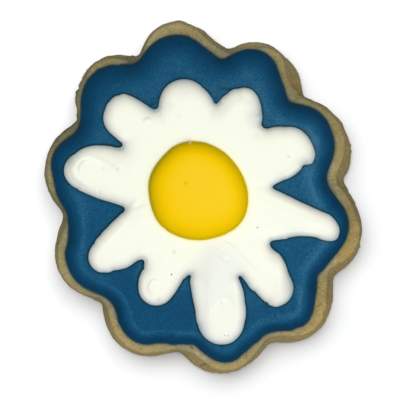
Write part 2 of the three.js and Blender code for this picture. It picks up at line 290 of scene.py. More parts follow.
def _lattice(I, seed):
    i = I.astype(np.int64).astype(np.uint32)
    return _mix(i[:, 0] * np.uint32(0x8DA6B343) ^ i[:, 1] * np.uint32(0xD8163841)
                ^ i[:, 2] * np.uint32(0xCB1AB31F) ^ np.uint32((seed * 0x9E3779B1) & 0xFFFFFFFF))


def noise(P, size, seed=0):
    """Smooth gradient noise, about -1 to 1; size is one number or one for each axis."""
    Q = P / np.asarray(size, float)
    I = np.floor(Q)
    F = Q - I
    U = F * F * F * (F * (F * 6 - 15) + 10)
    total = np.zeros(len(P))
    for dx in (0, 1):
        for dy in (0, 1):
            for dz in (0, 1):
                h = _lattice(I + [dx, dy, dz], seed)
                g = [((h >> np.uint32(s)) & np.uint32(1023)).astype(float) / 511.5 - 1 for s in (0, 10, 20)]
                w = (U[:, 0] if dx else 1 - U[:, 0]) * (U[:, 1] if dy else 1 - U[:, 1]) * (U[:, 2] if dz else 1 - U[:, 2])
                total += w * (g[0] * (F[:, 0] - dx) + g[1] * (F[:, 1] - dy) + g[2] * (F[:, 2] - dz))
    return total * 1.6


def layered(P, size, octaves, seed=0, fall=0.5):
    return sum(fall ** k * noise(P, np.asarray(size, float) / 2 ** k, seed + k) for k in range(octaves))


def cells(P, size, seed=0):
    """Distance to the nearest scattered point, in cell sizes, and that point's random number 0 to 1."""
    Q = P / size
    I = np.floor(Q)
    best = np.full(len(P), 9.0)
    tag = np.zeros(len(P))
    for dx in (-1, 0, 1):
        for dy in (-1, 0, 1):
            for dz in (-1, 0, 1):
                C = I + [dx, dy, dz]
                h = _lattice(C, seed)
                p = C + np.stack([((h >> np.uint32(s)) & np.uint32(1023)).astype(float) / 1023 for s in (0, 10, 20)], 1)
                d = np.sqrt(((Q - p) ** 2).sum(1))
                near = d < best
                best = np.where(near, d, best)
                tag = np.where(near, (_mix(h + np.uint32(77)) & np.uint32(0xFFFF)).astype(float) / 65535, tag)
    return best, tag


def flat(P):
    return np.c_[P, np.zeros(len(P))]


def bell(P, x, y, w):
    return np.exp(-((P[:, 0] - x) ** 2 + (P[:, 1] - y) ** 2) / (2 * w * w))


def step(a, b, x):
    t = np.clip((x - a) / (b - a), 0, 1)
    return t * t * (3 - 2 * t)


def arc(P, x, y, r, a0, a1, w):
    """A soft line along part of a circle, 0 to 1."""
    dx, dy = P[:, 0] - x, P[:, 1] - y
    half = math.radians(a1 - a0) / 2
    off = (np.arctan2(dy, dx) - math.radians((a0 + a1) / 2) + np.pi) % (2 * np.pi) - np.pi
    return np.exp(-((np.hypot(dx, dy) - r) / w) ** 2) * (1 - step(half * 0.55, half, np.abs(off)))


def stroke(P, ax, ay, bx, by, w):
    """A soft line from a to b that fades towards both ends, 0 to 1."""
    d = np.array([bx - ax, by - ay])
    p = P - np.array([ax, ay])
    t = (p @ d) / (d @ d)
    q = p - np.clip(t, 0, 1)[:, None] * d
    return np.exp(-(np.hypot(q[:, 0], q[:, 1]) / w) ** 2) * np.sin(np.pi * np.clip(t, 0.02, 0.98)) ** 0.6


def trail(P, points, w):
    """A soft line through several points that fades at both ends, 0 to 1."""
    near, along, run = np.full(len(P), 9.0), np.zeros(len(P)), 0.0
    for a, b in zip(np.array(points[:-1]), np.array(points[1:])):
        d = b - a
        length = math.hypot(*d)
        t = np.clip(((P - a) @ d) / (length * length), 0, 1)
        off = np.hypot(*(P - a - t[:, None] * d).T)
        along = np.where(off < near, run + t * length, along)
        near = np.minimum(off, near)
        run += length
    return np.exp(-(near / w) ** 2) * np.sin(np.pi * np.clip(along / run, 0.03, 0.97)) ** 0.5


def marks(lines, dots, P, which):
    """Lines are (how light, width, height, course), dots (x, y, how light, width, height); which is 0 or 2."""
    total = np.zeros(len(P))
    for mark in lines:
        total += mark[which] * trail(P, mark[3], mark[1])
    for x, y, light, w, high in dots:
        total += (light, w, high)[which] * bell(P, x, y, w)
    return total


def near_marks(lines, dots, P):
    near = np.zeros(len(P), bool)
    for light, w, high, points in lines:
        if w < 0.45:
            near |= trail(P, points, w) > 0.03
    for x, y, light, w, high in dots:
        if w < 0.45:
            near |= bell(P, x, y, w) > 0.05
    return near


# ------------------------------------------------------------------ meshes
class Mesh:
    def __init__(self):
        self.rows, self.faces, self.count = [], [], 0

    def points(self, xy, z):
        z = np.broadcast_to(np.asarray(z, float), (len(xy),))
        self.rows.append(np.c_[xy, z])
        first = self.count
        self.count += len(xy)
        return np.arange(first, self.count)

    def strip(self, a, b):
        a2, b2 = np.roll(a, -1), np.roll(b, -1)
        self.faces.append(np.c_[a, a2, b2])
        self.faces.append(np.c_[a, b2, b])

    def cap(self, ring, ring_xy, inner, inner_xy, up=True):
        """Fills a ring with triangles through the loose points inside it."""
        n = len(ring)
        ids = np.r_[ring, inner].astype(int)
        P = np.vstack([ring_xy, inner_xy]) if len(inner) else ring_xy
        out = delaunay_2d_cdt([Vector(p) for p in P], [(i, (i + 1) % n) for i in range(n)], [list(range(n))], 1, 1e-6)
        back = np.array([o[0] for o in out[3]])
        F = back[np.array(out[2])]
        a, b, c = P[F[:, 0]], P[F[:, 1]], P[F[:, 2]]
        area = (b[:, 0] - a[:, 0]) * (c[:, 1] - a[:, 1]) - (b[:, 1] - a[:, 1]) * (c[:, 0] - a[:, 0])
        F = F[np.abs(area) > 1e-9]
        area = area[np.abs(area) > 1e-9]
        F = np.where(((area > 0) == up)[:, None], F, F[:, ::-1])
        self.faces.append(ids[F])

    def done(self):
        self.v = np.vstack(self.rows)
        self.f = np.vstack(self.faces)
        return self


def normals(v, f):
    n = np.cross(v[f[:, 1]] - v[f[:, 0]], v[f[:, 2]] - v[f[:, 0]])
    out = np.zeros_like(v)
    for k in range(3):
        for c in range(3):
            out[:, c] += np.bincount(f[:, k], n[:, c], len(v))
    return out / np.maximum(np.linalg.norm(out, axis=1, keepdims=True), 1e-12)


def relax(v, f, weight, rounds):
    """Evens out the heights of the points whose weight is above 0."""
    e = np.vstack([f[:, [0, 1]], f[:, [1, 2]], f[:, [2, 0]]])
    e = np.vstack([e, e[:, ::-1]])
    deg = np.bincount(e[:, 0], minlength=len(v))
    z = v[:, 2].copy()
    for _ in range(rounds):
        mean = np.bincount(e[:, 0], z[e[:, 1]], len(v)) / np.maximum(deg, 1)
        z += weight * 0.5 * (mean - z)
    v[:, 2] = z


def honeycomb(keep, spacing, reach=46.0, seed=1):
    ys = np.arange(-reach, reach, spacing * math.sqrt(3) / 2)
    xs = np.arange(-reach, reach, spacing)
    gx, gy = np.meshgrid(xs, ys)
    gx = gx + np.where(np.arange(len(ys)) % 2, spacing / 2, 0)[:, None]
    P = np.c_[gx.ravel(), gy.ravel()]
    rng = np.random.default_rng(seed)
    P = P + rng.uniform(-0.12, 0.12, P.shape) * spacing
    return P[keep(P)]


def build(name, mesh, material, node, slot, **attributes):
    v, f = mesh.v, mesh.f
    volume = np.einsum("ij,ij->i", v[f[:, 0]], np.cross(v[f[:, 1]], v[f[:, 2]])).sum() / 6
    if volume < 0:
        f = f[:, ::-1]
    me = bpy.data.meshes.new(name)
    me.vertices.add(len(v))
    me.vertices.foreach_set("co", (v * MM).astype(np.float32).ravel())
    me.loops.add(len(f) * 3)
    me.loops.foreach_set("vertex_index", f.astype(np.int32).ravel())
    me.polygons.add(len(f))
    me.polygons.foreach_set("loop_start", np.arange(0, len(f) * 3, 3, dtype=np.int32))
    me.update(calc_edges=True)
    me.polygons.foreach_set("use_smooth", np.ones(len(f), bool))
    for key, values in attributes.items():
        if np.ndim(values) == 2:
            layer = me.attributes.new(key, "FLOAT_COLOR", "POINT")
            layer.data.foreach_set("color", np.c_[values, np.ones(len(v))].astype(np.float32).ravel())
        else:
            layer = me.attributes.new(key, "FLOAT", "POINT")
            layer.data.foreach_set("value", np.asarray(values, np.float32))
    if me.validate():
        print("mesh needed mending:", name)
    me.materials.append(material)
    ob = bpy.data.objects.new(name, me)
    bpy.context.scene.collection.objects.link(ob)
    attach(ob, "root")
    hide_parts(node)
    print(f"{name}: {len(v)} points, {len(f)} triangles, {abs(volume) / 1000:.2f} cm3")
    return ob


# ------------------------------------------------------------------ materials
class Material:
    def __init__(self, name):
        self.mat = bpy.data.materials.new(name)
        self.mat.use_nodes = True
        self.nt = self.mat.node_tree
        self.nt.nodes.clear()
        self.out = self.nt.nodes.new("ShaderNodeOutputMaterial")
        self.bsdf = self.nt.nodes.new("ShaderNodeBsdfPrincipled")
        self.nt.links.new(self.bsdf.outputs[0], self.out.inputs[0])
        self.where = self.nt.nodes.new("ShaderNodeTexCoord").outputs["Object"]

    def set(self, node, socket, value):
        if hasattr(value, "is_output"):
            self.nt.links.new(value, node.inputs[socket])
        elif value is not None:
            node.inputs[socket].default_value = value

    def shader(self, **values):
        for key, value in values.items():
            self.set(self.bsdf, key.replace("_", " "), value)

    def read(self, name, output="Fac"):
        n = self.nt.nodes.new("ShaderNodeAttribute")
        n.attribute_name = name
        return n.outputs[output]

    def noise(self, size, detail=2.0, rough=0.5, stretch=None, seed=0.0):
        """Noise with features of about size mm."""
        where = self.where
        if stretch or seed:
            m = self.nt.nodes.new("ShaderNodeMapping")
            self.nt.links.new(where, m.inputs["Vector"])
            m.inputs["Scale"].default_value = stretch or (1, 1, 1)
            m.inputs["Location"].default_value = (seed, seed * 0.7, seed * 1.3)
            where = m.outputs[0]
        n = self.nt.nodes.new("ShaderNodeTexNoise")
        self.nt.links.new(where, n.inputs["Vector"])
        n.inputs["Scale"].default_value = 1000.0 / size
        n.inputs["Detail"].default_value = detail
        n.inputs["Roughness"].default_value = rough
        return n.outputs["Fac"]

    def voronoi(self, size, seed=0.0, feature="F1", output="Distance"):
        m = self.nt.nodes.new("ShaderNodeMapping")
        self.nt.links.new(self.where, m.inputs["Vector"])
        m.inputs["Location"].default_value = (seed, seed * 0.7, seed * 1.3)
        n = self.nt.nodes.new("ShaderNodeTexVoronoi")
        n.feature = feature
        self.nt.links.new(m.outputs[0], n.inputs["Vector"])
        n.inputs["Scale"].default_value = 1000.0 / size
        return n.outputs[output]

    def math(self, op, a, b=None, c=None):
        n = self.nt.nodes.new("ShaderNodeMath")
        n.operation = op
        self.set(n, 0, a)
        self.set(n, 1, b)
        self.set(n, 2, c)
        return n.outputs[0]

    def span(self, value, lo, hi, to_lo=0.0, to_hi=1.0, smooth=False):
        n = self.nt.nodes.new("ShaderNodeMapRange")
        n.clamp = True
        if smooth:
            n.interpolation_type = "SMOOTHSTEP"
        self.set(n, "Value", value)
        for key, v in (("From Min", lo), ("From Max", hi), ("To Min", to_lo), ("To Max", to_hi)):
            n.inputs[key].default_value = v
        return n.outputs["Result"]

    def ramp(self, value, stops, ease=False):
        n = self.nt.nodes.new("ShaderNodeValToRGB")
        self.set(n, "Fac", value)
        e = n.color_ramp.elements
        n.color_ramp.interpolation = "EASE" if ease else "LINEAR"
        while len(e) < len(stops):
            e.new(0.5)
        for el, (at, colour) in zip(e, stops):
            el.position = at
            el.color = (*colour, 1)
        return n.outputs["Color"]

    def blend(self, amount, a, b, kind="MIX"):
        n = self.nt.nodes.new("ShaderNodeMix")
        n.data_type = "RGBA"
        n.blend_type = kind
        self.set(n, 0, amount)
        for socket, value in ((n.inputs[6], a), (n.inputs[7], b)):
            if hasattr(value, "is_output"):
                self.nt.links.new(value, socket)
            else:
                socket.default_value = (*value, 1)
        return n.outputs[2]

    def bump(self, height, strength, distance_mm, under=None):
        n = self.nt.nodes.new("ShaderNodeBump")
        n.inputs["Strength"].default_value = strength
        n.inputs["Distance"].default_value = distance_mm * MM
        self.nt.links.new(height, n.inputs["Height"])
        if under is not None:
            self.nt.links.new(under, n.inputs["Normal"])
        return n.outputs[0]


def srgb(r, g, b):
    return tuple(c / 12.92 if c <= 0.04045 else ((c + 0.055) / 1.055) ** 2.4 for c in (r / 255, g / 255, b / 255))


# ------------------------------------------------------------------ camera
AIM = np.array([-0.712, -1.01, 6.0])
DISTANCE, TILT, TURN = 450.0, math.radians(2.5), math.radians(25)
HALF_VIEW = 0.11205  # tangent of half the field of view
eye = AIM + DISTANCE * np.array([math.sin(TURN) * math.sin(TILT), -math.cos(TURN) * math.sin(TILT), math.cos(TILT)])
forward = (AIM - eye) / np.linalg.norm(AIM - eye)
right = np.cross(forward, [0, 1, 0])
right /= np.linalg.norm(right)
up = np.cross(right, forward)
cam = bpy.data.cameras.new("camera")
cam.sensor_width = 36.0
cam.sensor_fit = "AUTO"
cam.lens = 18.0 / HALF_VIEW
cam.clip_start, cam.clip_end = 0.02, 20.0
camera = bpy.data.objects.new("camera", cam)
camera.matrix_world = Matrix([[right[0], up[0], -forward[0], eye[0] * MM], [right[1], up[1], -forward[1], eye[1] * MM],
                              [right[2], up[2], -forward[2], eye[2] * MM], [0, 0, 0, 1]])
bpy.context.scene.collection.objects.link(camera)
bpy.context.scene.camera = camera


# ------------------------------------------------------------------ heights of the surfaces
def around(P):
    a = np.arctan2(P[:, 1] - MIDDLE[1], P[:, 0] - MIDDLE[0])
    return np.cos(a), np.sin(a)


def facing(f, P):
    g = slope(f, P, 0.05)
    return g / np.maximum(np.linalg.norm(g, axis=1, keepdims=True), 1e-9)


def quarter(D, run):
    return np.sqrt(np.clip(1 - (1 - np.clip(D / run, 0, 1)) ** 2, 0, 1))


def ridge_at(P):
    east, north = around(P)
    return 3.75 + 1.15 * north + 0.35 * east + 0.45 * noise(flat(P), 9.0, 31)


def ridge_width(P):
    east, north = around(P)
    return 1.15 + 0.65 * north


def straight(line, spacing):
    """How far in from an outline, measured straight to it."""
    edge = trace(line, spacing)

    def depth(P):
        near = -line(P)
        away = np.empty(len(P))
        for i in range(0, len(P), 20000):
            Q = P[i:i + 20000]
            square = (Q ** 2).sum(1)[:, None] + (edge ** 2).sum(1)[None] - 2 * Q @ edge.T
            away[i:i + 20000] = np.sqrt(np.maximum(square.min(1), 0))
        return near + (away - near) * step(0.3, 0.8, near)
    return depth


blue_depth = straight(icing_line, 0.16)
white_depth = straight(petal_line, 0.14)
petal_edge = trace(petal_line, 0.14)


def petal_gap(P):
    """How far outside the daisy's outline, measured straight to it; 0 under the daisy."""
    away = np.zeros(len(P))
    near = petal_line(P)
    out = np.nonzero((near > 0) & (near < 2.5))[0]
    for i in range(0, len(out), 20000):
        Q = P[out[i:i + 20000]]
        square = (Q ** 2).sum(1)[:, None] + (petal_edge ** 2).sum(1)[None] - 2 * Q @ petal_edge.T
        away[out[i:i + 20000]] = np.sqrt(np.maximum(square.min(1), 0))
    return np.where(near >= 2.5, near, away)


# marks in the navy: the thin light line along the ridge (a painted highlight on a low rise), where the scribe dragged,
# and small flecks; each mark is painted lighter or darker as light and shade for its small rise or dip
BLUE_LINES = [
    (8, 0.28, 0.05, [(-29.4, -19.0), (-28.9, -19.5), (-27.9, -20.3), (-26.6, -21.5), (-24.9, -22.3), (-22.9, -23.0),
                     (-21.3, -23.8), (-20.1, -24.8), (-19.3, -26.3), (-18.6, -27.8), (-18.0, -29.3), (-17.6, -30.8),
                     (-17.1, -32.3), (-16.1, -33.5), (-14.6, -34.3), (-12.8, -34.5), (-11.3, -34.9), (-9.6, -34.9),
                     (-8.6, -34.0), (-7.7, -33.9)]),
    (7, 0.24, 0.04, [(-15.8, -33.5), (-13.8, -33.8), (-11.8, -34.0), (-10.3, -34.0), (-8.8, -33.5)]),
    (-8, 0.24, -0.04, [(-11.3, -34.5), (-10.1, -34.5), (-9.1, -34.0)]),
    (8, 0.42, 0.03, [(-5.1, -34.3), (-3.5, -34.5), (-2.3, -34.5), (-1.0, -35.3)]),
    (6, 0.24, 0.00, [(-19.2, -26.5), (-18.3, -28.8)]),
    (7, 0.24, 0.00, [(-15.8, -25.9), (-15.8, -27.3)]),
    (10, 0.32, 0.03, [(-15.6, -16.8), (-16.1, -18.5), (-16.8, -19.8), (-17.2, -21.3)]),
    (6, 0.28, 0.00, [(-27.1, -20.1), (-24.9, -20.6), (-22.4, -20.8)]),
    (6, 0.24, 0.00, [(-17.8, -25.2), (-16.1, -25.0)]),
    (8, 0.34, 0.02, [(-2.7, -28.0), (-2.2, -30.0), (-2.0, -31.8), (-1.8, -33.8)]),
    (8, 0.32, 0.00, [(-4.6, -21.8), (-4.8, -23.8)]),
    (9, 0.42, 0.03, [(30.0, -12.8), (29.2, -14.3), (28.0, -15.5), (27.2, -16.5), (26.2, -18.3), (25.6, -19.8), (25.4, -21.8)]),
    (8, 0.55, 0.02, [(24.3, -22.3), (24.5, -25.0), (24.3, -26.8), (24.0, -28.5), (23.2, -29.8), (22.2, -30.8)]),
    (7, 0.45, 0.03, [(21.5, -31.1), (19.2, -31.8), (17.7, -31.5), (16.2, -31.6), (14.7, -32.3), (13.2, -33.5), (11.2, -35.3)]),
    (8, 0.50, 0.03, [(24.6, 17.9), (26.3, 16.8), (27.7, 15.6), (28.7, 13.9), (29.1, 12.3), (28.9, 10.6), (28.2, 8.2)]),
    (8, 0.45, 0.03, [(27.9, 7.8), (27.2, 5.0), (27.0, 3.3), (27.7, 1.4), (28.2, -0.2), (29.1, -2.2)]),
    (7, 0.40, 0.03, [(-34.1, 2.3), (-32.0, -0.8), (-30.7, -3.7), (-29.8, -7.1), (-29.7, -9.5), (-30.2, -12.9), (-30.5, -16.3),
                     (-29.9, -18.0), (-29.1, -19.3)]),
    (5, 0.50, 0.00, [(-25.5, 22.5), (-26.0, 21.2), (-26.2, 19.7)]),
    (9, 0.24, 0.03, [(-22.6, 27.1), (-20.9, 28.5)]),
    (6, 0.28, 0.00, [(-17.0, 29.1), (-16.0, 28.0)]),
    (13, 0.24, 0.03, [(-6.5, 39.5), (-5.5, 39.3), (-4.3, 39.0)])]
BLUE_DOTS = [
    (-7.7, -34.8, -15, 0.45, -0.04), (-7.1, -34.3, 8, 0.40, 0.03), (-5.8, -34.4, 8, 0.40, 0.03),
    (-17.8, -29.3, 7, 0.35, 0.00), (19.7, -28.9, -12, 0.30, -0.03), (18.0, -30.3, -10, 0.28, -0.03),
    (17.2, -30.9, -8, 0.25, -0.02), (22.6, -30.4, 9, 0.35, 0.03), (12.1, -25.8, 4, 1.20, 0.00), (14.5, -26.6, 7, 0.40, 0.00),
    (26.8, 6.4, -6, 0.40, -0.02), (19.7, 19.6, 9, 0.40, 0.00), (-17.4, 27.0, 7, 0.40, 0.00), (-5.6, 38.6, -8, 0.50, 0.00),
    (-3.1, 30.9, 7, 0.50, 0.00), (-10.9, 30.0, 5, 0.60, 0.00), (4.7, 28.3, 7, 0.70, 0.00), (11.0, 30.5, 6, 0.70, 0.00),
    (14.8, 27.1, 6, 0.90, 0.00), (-4.3, -30.0, -3, 1.60, 0.00)]


def blue_height(P):
    D = blue_depth(P)
    east, north = around(P)
    run = 4.1 + 0.9 * north
    z = DOUGH_TOP + 0.56 + 1.40 * quarter(D, run)
    crest = np.exp(-((D - ridge_at(P)) / ridge_width(P)) ** 2)
    z = z + (0.11 - 0.05 * north) * crest
    z = z - 0.05 * step(4.0, 9.0, D)
    z = z + 0.045 * noise(flat(P), 9.0, 3) * step(1.5, 5, D) + 0.018 * noise(flat(P), 3.2, 4) * step(0.8, 3, D)
    return z


valleys = []


def white_height(P):
    D = white_depth(P)
    n = facing(petal_line, P)
    run = 3.3 + 0.7 * np.clip(n[:, 1], -0.3, 1) * np.exp(-D / 4)
    z = BLUE_TOP + 0.5 + 1.27 * quarter(D, run)
    return z


# marks that the piping bag and the scribe left in the white, each a small rise or dip with painted light or shade on
# it: how light, width, height (mm), course
WHITE_LINES = [
    (8, 0.36, 0.04, [(-25.0, 7.2), (-25.8, 8.2), (-27.3, 9.1), (-28.9, 9.4), (-30.3, 9.1), (-31.4, 8.1), (-32.0, 6.7),
                      (-31.8, 5.3), (-31.0, 4.5), (-30.2, 4.0)]),
    (3, 0.50, 0.02, [(-31.0, 4.5), (-29.1, 3.4), (-27.5, 2.2), (-26.6, 1.0)]),
    (6, 0.30, 0.0, [(-28.1, 9.4), (-29.6, 9.4), (-30.8, 8.7), (-31.7, 7.6), (-32.0, 6.2)]),
    (-18, 0.30, -0.04, [(-30.8, 5.9), (-31.0, 6.9), (-30.7, 7.8), (-30.1, 8.5), (-29.1, 8.8)]),
    (-11, 0.50, 0.0, [(-33.4, 7.7), (-33.2, 6.0), (-32.3, 4.4), (-30.8, 3.1), (-29.0, 2.0)]),
    (-8, 0.50, -0.03, [(-28.6, 10.3), (-26.1, 9.6), (-24.0, 8.6), (-22.3, 7.6), (-21.0, 6.5)]),
    (16, 0.22, 0.14, [(-26.6, 2.0), (-26.4, 1.2), (-26.3, 0.0)]),
    (-13, 0.22, -0.04, [(-25.8, 1.4), (-25.5, 0.2)]),
    (-16, 0.55, -0.06, [(-19.0, -3.4), (-18.0, -2.3), (-16.6, -0.9)]),
    (-22, 0.24, -0.05, [(-3.1, -19.9), (-2.6, -19.4), (-2.1, -19.2)]),
    (7, 0.62, 0.04, [(-16.3, -1.4), (-17.0, -3.0), (-17.8, -4.5), (-19.5, -7.3), (-21.8, -9.9), (-24.5, -12.5),
                      (-26.1, -14.8), (-26.4, -16.5), (-25.2, -18.1), (-23.0, -18.9)]),
    (-20, 0.26, -0.06, [(-11.1, -21.1), (-12.0, -20.8), (-13.0, -21.3), (-13.6, -22.4), (-13.6, -23.6), (-12.5, -24.8)]),
    (7, 0.25, 0.03, [(-12.9, -22.1), (-12.2, -21.5), (-11.2, -21.6)]),
    (11, 0.32, 0.04, [(-14.4, -20.5), (-14.7, -22.3), (-14.7, -23.8), (-13.9, -25.4), (-12.5, -26.3)]),
    (-5, 1.10, -0.02, [(0.1, -18.8), (0.9, -22.5), (1.1, -27.0), (1.0, -30.7)]),
    (5, 0.22, 0.02, [(1.6, -22.8), (1.7, -27.0), (2.1, -30.7)]),
    (-3, 0.60, -0.02, [(1.9, -28.5), (2.7, -26.6), (4.2, -25.4), (5.7, -25.2), (7.5, -26.0)]),
    (2, 0.55, 0.015, [(2.5, -29.0), (3.4, -27.2), (4.5, -26.3), (5.7, -26.2), (7.2, -27.2)]),
    (9, 0.42, 0.04, [(8.0, -18.3), (8.2, -22.5), (8.5, -26.2), (8.7, -30.0), (8.2, -33.2)]),
    (-8, 0.22, -0.02, [(4.5, -10.9), (6.5, -11.8), (9.0, -13.2)]),
    (5, 0.22, 0.02, [(5.0, -10.4), (6.7, -11.2), (8.5, -12.5)]),
    (-7, 0.24, -0.02, [(3.6, -13.2), (4.5, -13.9), (5.5, -14.9)]),
    (-7, 0.25, -0.02, [(3.5, -14.8), (4.7, -15.9), (6.3, -17.2)]),
    (-5, 0.35, -0.03, [(6.5, -12.0), (10.5, -15.5), (13.5, -18.8), (15.9, -21.5)]),
    (9, 0.70, 0.03, [(18.7, -17.8), (19.3, -21.0), (19.2, -24.7)]),
    (8, 0.35, 0.03, [(16.0, -10.3), (20.2, -9.2), (23.9, -8.7), (27.4, -9.1), (30.7, -9.7)]),
    (7, 0.50, 0.02, [(15.0, 0.4), (20.0, -1.9), (24.4, -3.8), (28.9, -5.6)]),
    (12, 0.50, 0.03, [(25.2, 8.6), (24.0, 7.2), (22.0, 5.7), (19.5, 4.6)]),
    (-6, 0.80, -0.02, [(3.2, 18.2), (5.5, 21.0), (7.7, 23.1), (10.0, 24.0), (12.3, 22.7), (13.0, 20.5)]),
    (4, 0.70, 0.02, [(-21.1, 22.0), (-22.1, 19.5), (-21.3, 16.8)]),
    (-24, 0.28, -0.05, [(-14.9, 18.6), (-14.4, 19.3), (-13.8, 19.5), (-13.2, 19.1)])]
# touches, each a small rise or dip with painted light or shade on it: x, y, how light, width, height (mm)
WHITE_DOTS = [
    (-24.9, 6.7, -13, .30, -.04), (-22.4, 7.4, -9, .30, -.03), (-21.3, 6.5, -15, .30, -.04), (-20.4, 7.2, 5, .40, .02),
    (-11.0, -26.0, -15, .45, -.03), (-7.1, -14.2, -22, .30, -.05), (4.6, -26.8, -16, .22, -.05), (5.4, -26.0, 8, .30, .04),
    (4.7, -13.7, 7, .30, .03), (5.9, -15.7, 7, .30, .03), (6.5, -16.8, -6, .30, -.02), (21.5, 9.7, -20, .28, -.05),
    (22.2, 10.1, 8, .30, .04), (-13.5, 18.4, 10, .40, .05), (-7.7, 22.5, -8, .60, -.02), (-5.8, 19.8, -7, .35, -.03)]


def white_relief(P):
    D = white_depth(P)
    z = 0.030 * noise(flat(P), 7.0, 11) * step(0.8, 4, D) + 0.012 * noise(flat(P), 2.4, 12) * step(0.5, 3, D)
    # seams that run in from the notches between petals
    for (x, y), (ix, iy), deep, long_ in valleys:
        z = z - deep * stroke(P, x, y, x + ix * long_, y + iy * long_, 0.75)
    return z + marks(WHITE_LINES, WHITE_DOTS, P, 2)


PINHOLES = [(-7.74, -19.77, 0.20, 1.0), (13.71, -8.05, 0.17, 0.9), (5.55, -34.94, 0.13, 0.75), (6.40, -34.94, 0.13, 0.75)]


def yellow_height(P):
    D = -button_line(P)
    z = WHITE_TOP + 0.50 + 1.12 * quarter(D, 2.3) + 0.62 * (1 - (1 - np.clip(D / 12.35, 0, 1)) ** 2)
    z = z - 0.13 * bell(P, -4.21, 2.86, 0.42) + 0.03 * bell(P, -4.21, 2.86, 1.1)
    return z + 0.02 * noise(flat(P), 6.0, 21) * step(0.5, 3, D)


# ------------------------------------------------------------------ dough
WALL_N = 1240
outer = trace(base_line, 0.24)
outer = settle(base_line, even(outer, WALL_N)[0])
angles = np.arctan2(outer[:, 1] - MIDDLE[1], outer[:, 0] - MIDDLE[0])
rays = np.c_[np.cos(angles), np.sin(angles)]
r_base = np.hypot(*(outer - MIDDLE).T)
r_top = np.minimum(reach_along(top_line, angles), r_base - 0.25)
r_ice = reach_along(icing_line, angles)
order = np.argsort(angles)


def dough_height(P):
    """The dough's top surface near its rim."""
    a = np.arctan2(P[:, 1] - MIDDLE[1], P[:, 0] - MIDDLE[0])
    rt = np.interp(a, angles[order], r_top[order], period=2 * np.pi)
    inside = rt - np.hypot(*(P - MIDDLE).T)
    return DOUGH_CREASE_Z + (DOUGH_TOP - DOUGH_CREASE_Z) * quarter(inside, RIM_ROUND)


# marks in the crust: holes (with painted shade inside), browned spots and pale crumbs, each from a to b (x, y in mm),
# then its width and strength
PITS = [((-3.0, -37.9), (-2.6, -38.2), 0.24, 0.9), ((-0.6, -42.8), (0.5, -42.2), 0.24, 0.8), ((28.6, -27.9), (29.5, -27.2), 0.26, 0.7),
        ((23.7, -34.5), (24.1, -34.4), 0.22, 0.6), ((-35.6, 16.4), (-35.3, 16.8), 0.22, 0.5), ((-15.9, -38.4), (-15.5, -38.6), 0.22, 0.5)]
TOASTED = [((36.9, -14.2), (37.2, -14.9), 0.40, 0.9), ((36.4, -15.7), (36.7, -16.2), 0.35, 0.8), ((17.0, 36.8), (17.5, 36.3), 0.35, 1.0),
           ((19.1, 35.1), (19.3, 34.7), 0.32, 0.9), ((20.0, 33.6), (20.2, 33.1), 0.32, 0.8), ((0.6, 41.2), (1.0, 41.0), 0.30, 0.8),
           ((1.7, 40.4), (2.0, 40.1), 0.28, 0.7), ((-27.5, 33.9), (-27.2, 33.6), 0.34, 0.8), ((-27.9, 32.9), (-28.1, 32.5), 0.30, 0.7),
           ((-16.8, 36.9), (-16.1, 36.9), 0.40, 0.8), ((31.4, -25.8), (31.8, -26.2), 0.38, 0.8), ((37.6, -1.0), (37.8, -1.4), 0.34, 0.6),
           ((35.9, 5.8), (36.2, 5.2), 0.36, 0.9), ((-37.3, -0.6), (-37.2, -1.1), 0.34, 0.5), ((1.8, -41.2), (2.2, -41.5), 0.32, 0.9),
           ((-13.5, -38.7), (-12.9, -39.0), 0.34, 0.7), ((38.0, -7.4), (38.3, -8.1), 0.38, 0.6), ((-24.6, -29.0), (-24.2, -29.3), 0.34, 0.6), ((22.9, 29.0), (23.9, 27.4), 0.32, 0.8),
           ((21.0, 32.2), (22.0, 31.0), 0.26, 0.6)]
FLECKS = [((33.1, -16.4), (33.3, -16.6), 0.24, 0.9), ((-1.7, -39.3), (-1.3, -39.7), 0.34, 0.5), ((0.2, -40.5), (0.6, -40.8), 0.34, 0.5),
          ((-31.4, -21.9), (-31.1, -22.3), 0.36, 0.4), ((-27.0, -27.3), (-26.6, -27.6), 0.34, 0.4), ((38.2, -10.6), (38.3, -10.9), 0.28, 0.5)]


def spots(places, v, shown):
    total = np.zeros(len(v))
    for (ax, ay), (bx, by), w, strength in places:
        a, d = np.array([ax, ay]), np.array([bx - ax, by - ay])
        t = np.clip((v[:, :2] - a) @ d / (d @ d), 0, 1)
        far = np.hypot(*(v[:, :2] - a - t[:, None] * d).T)
        total = np.maximum(total, strength * np.exp(-(far / w) ** 2))
    return total * shown * (v[:, 2] > 1.5)


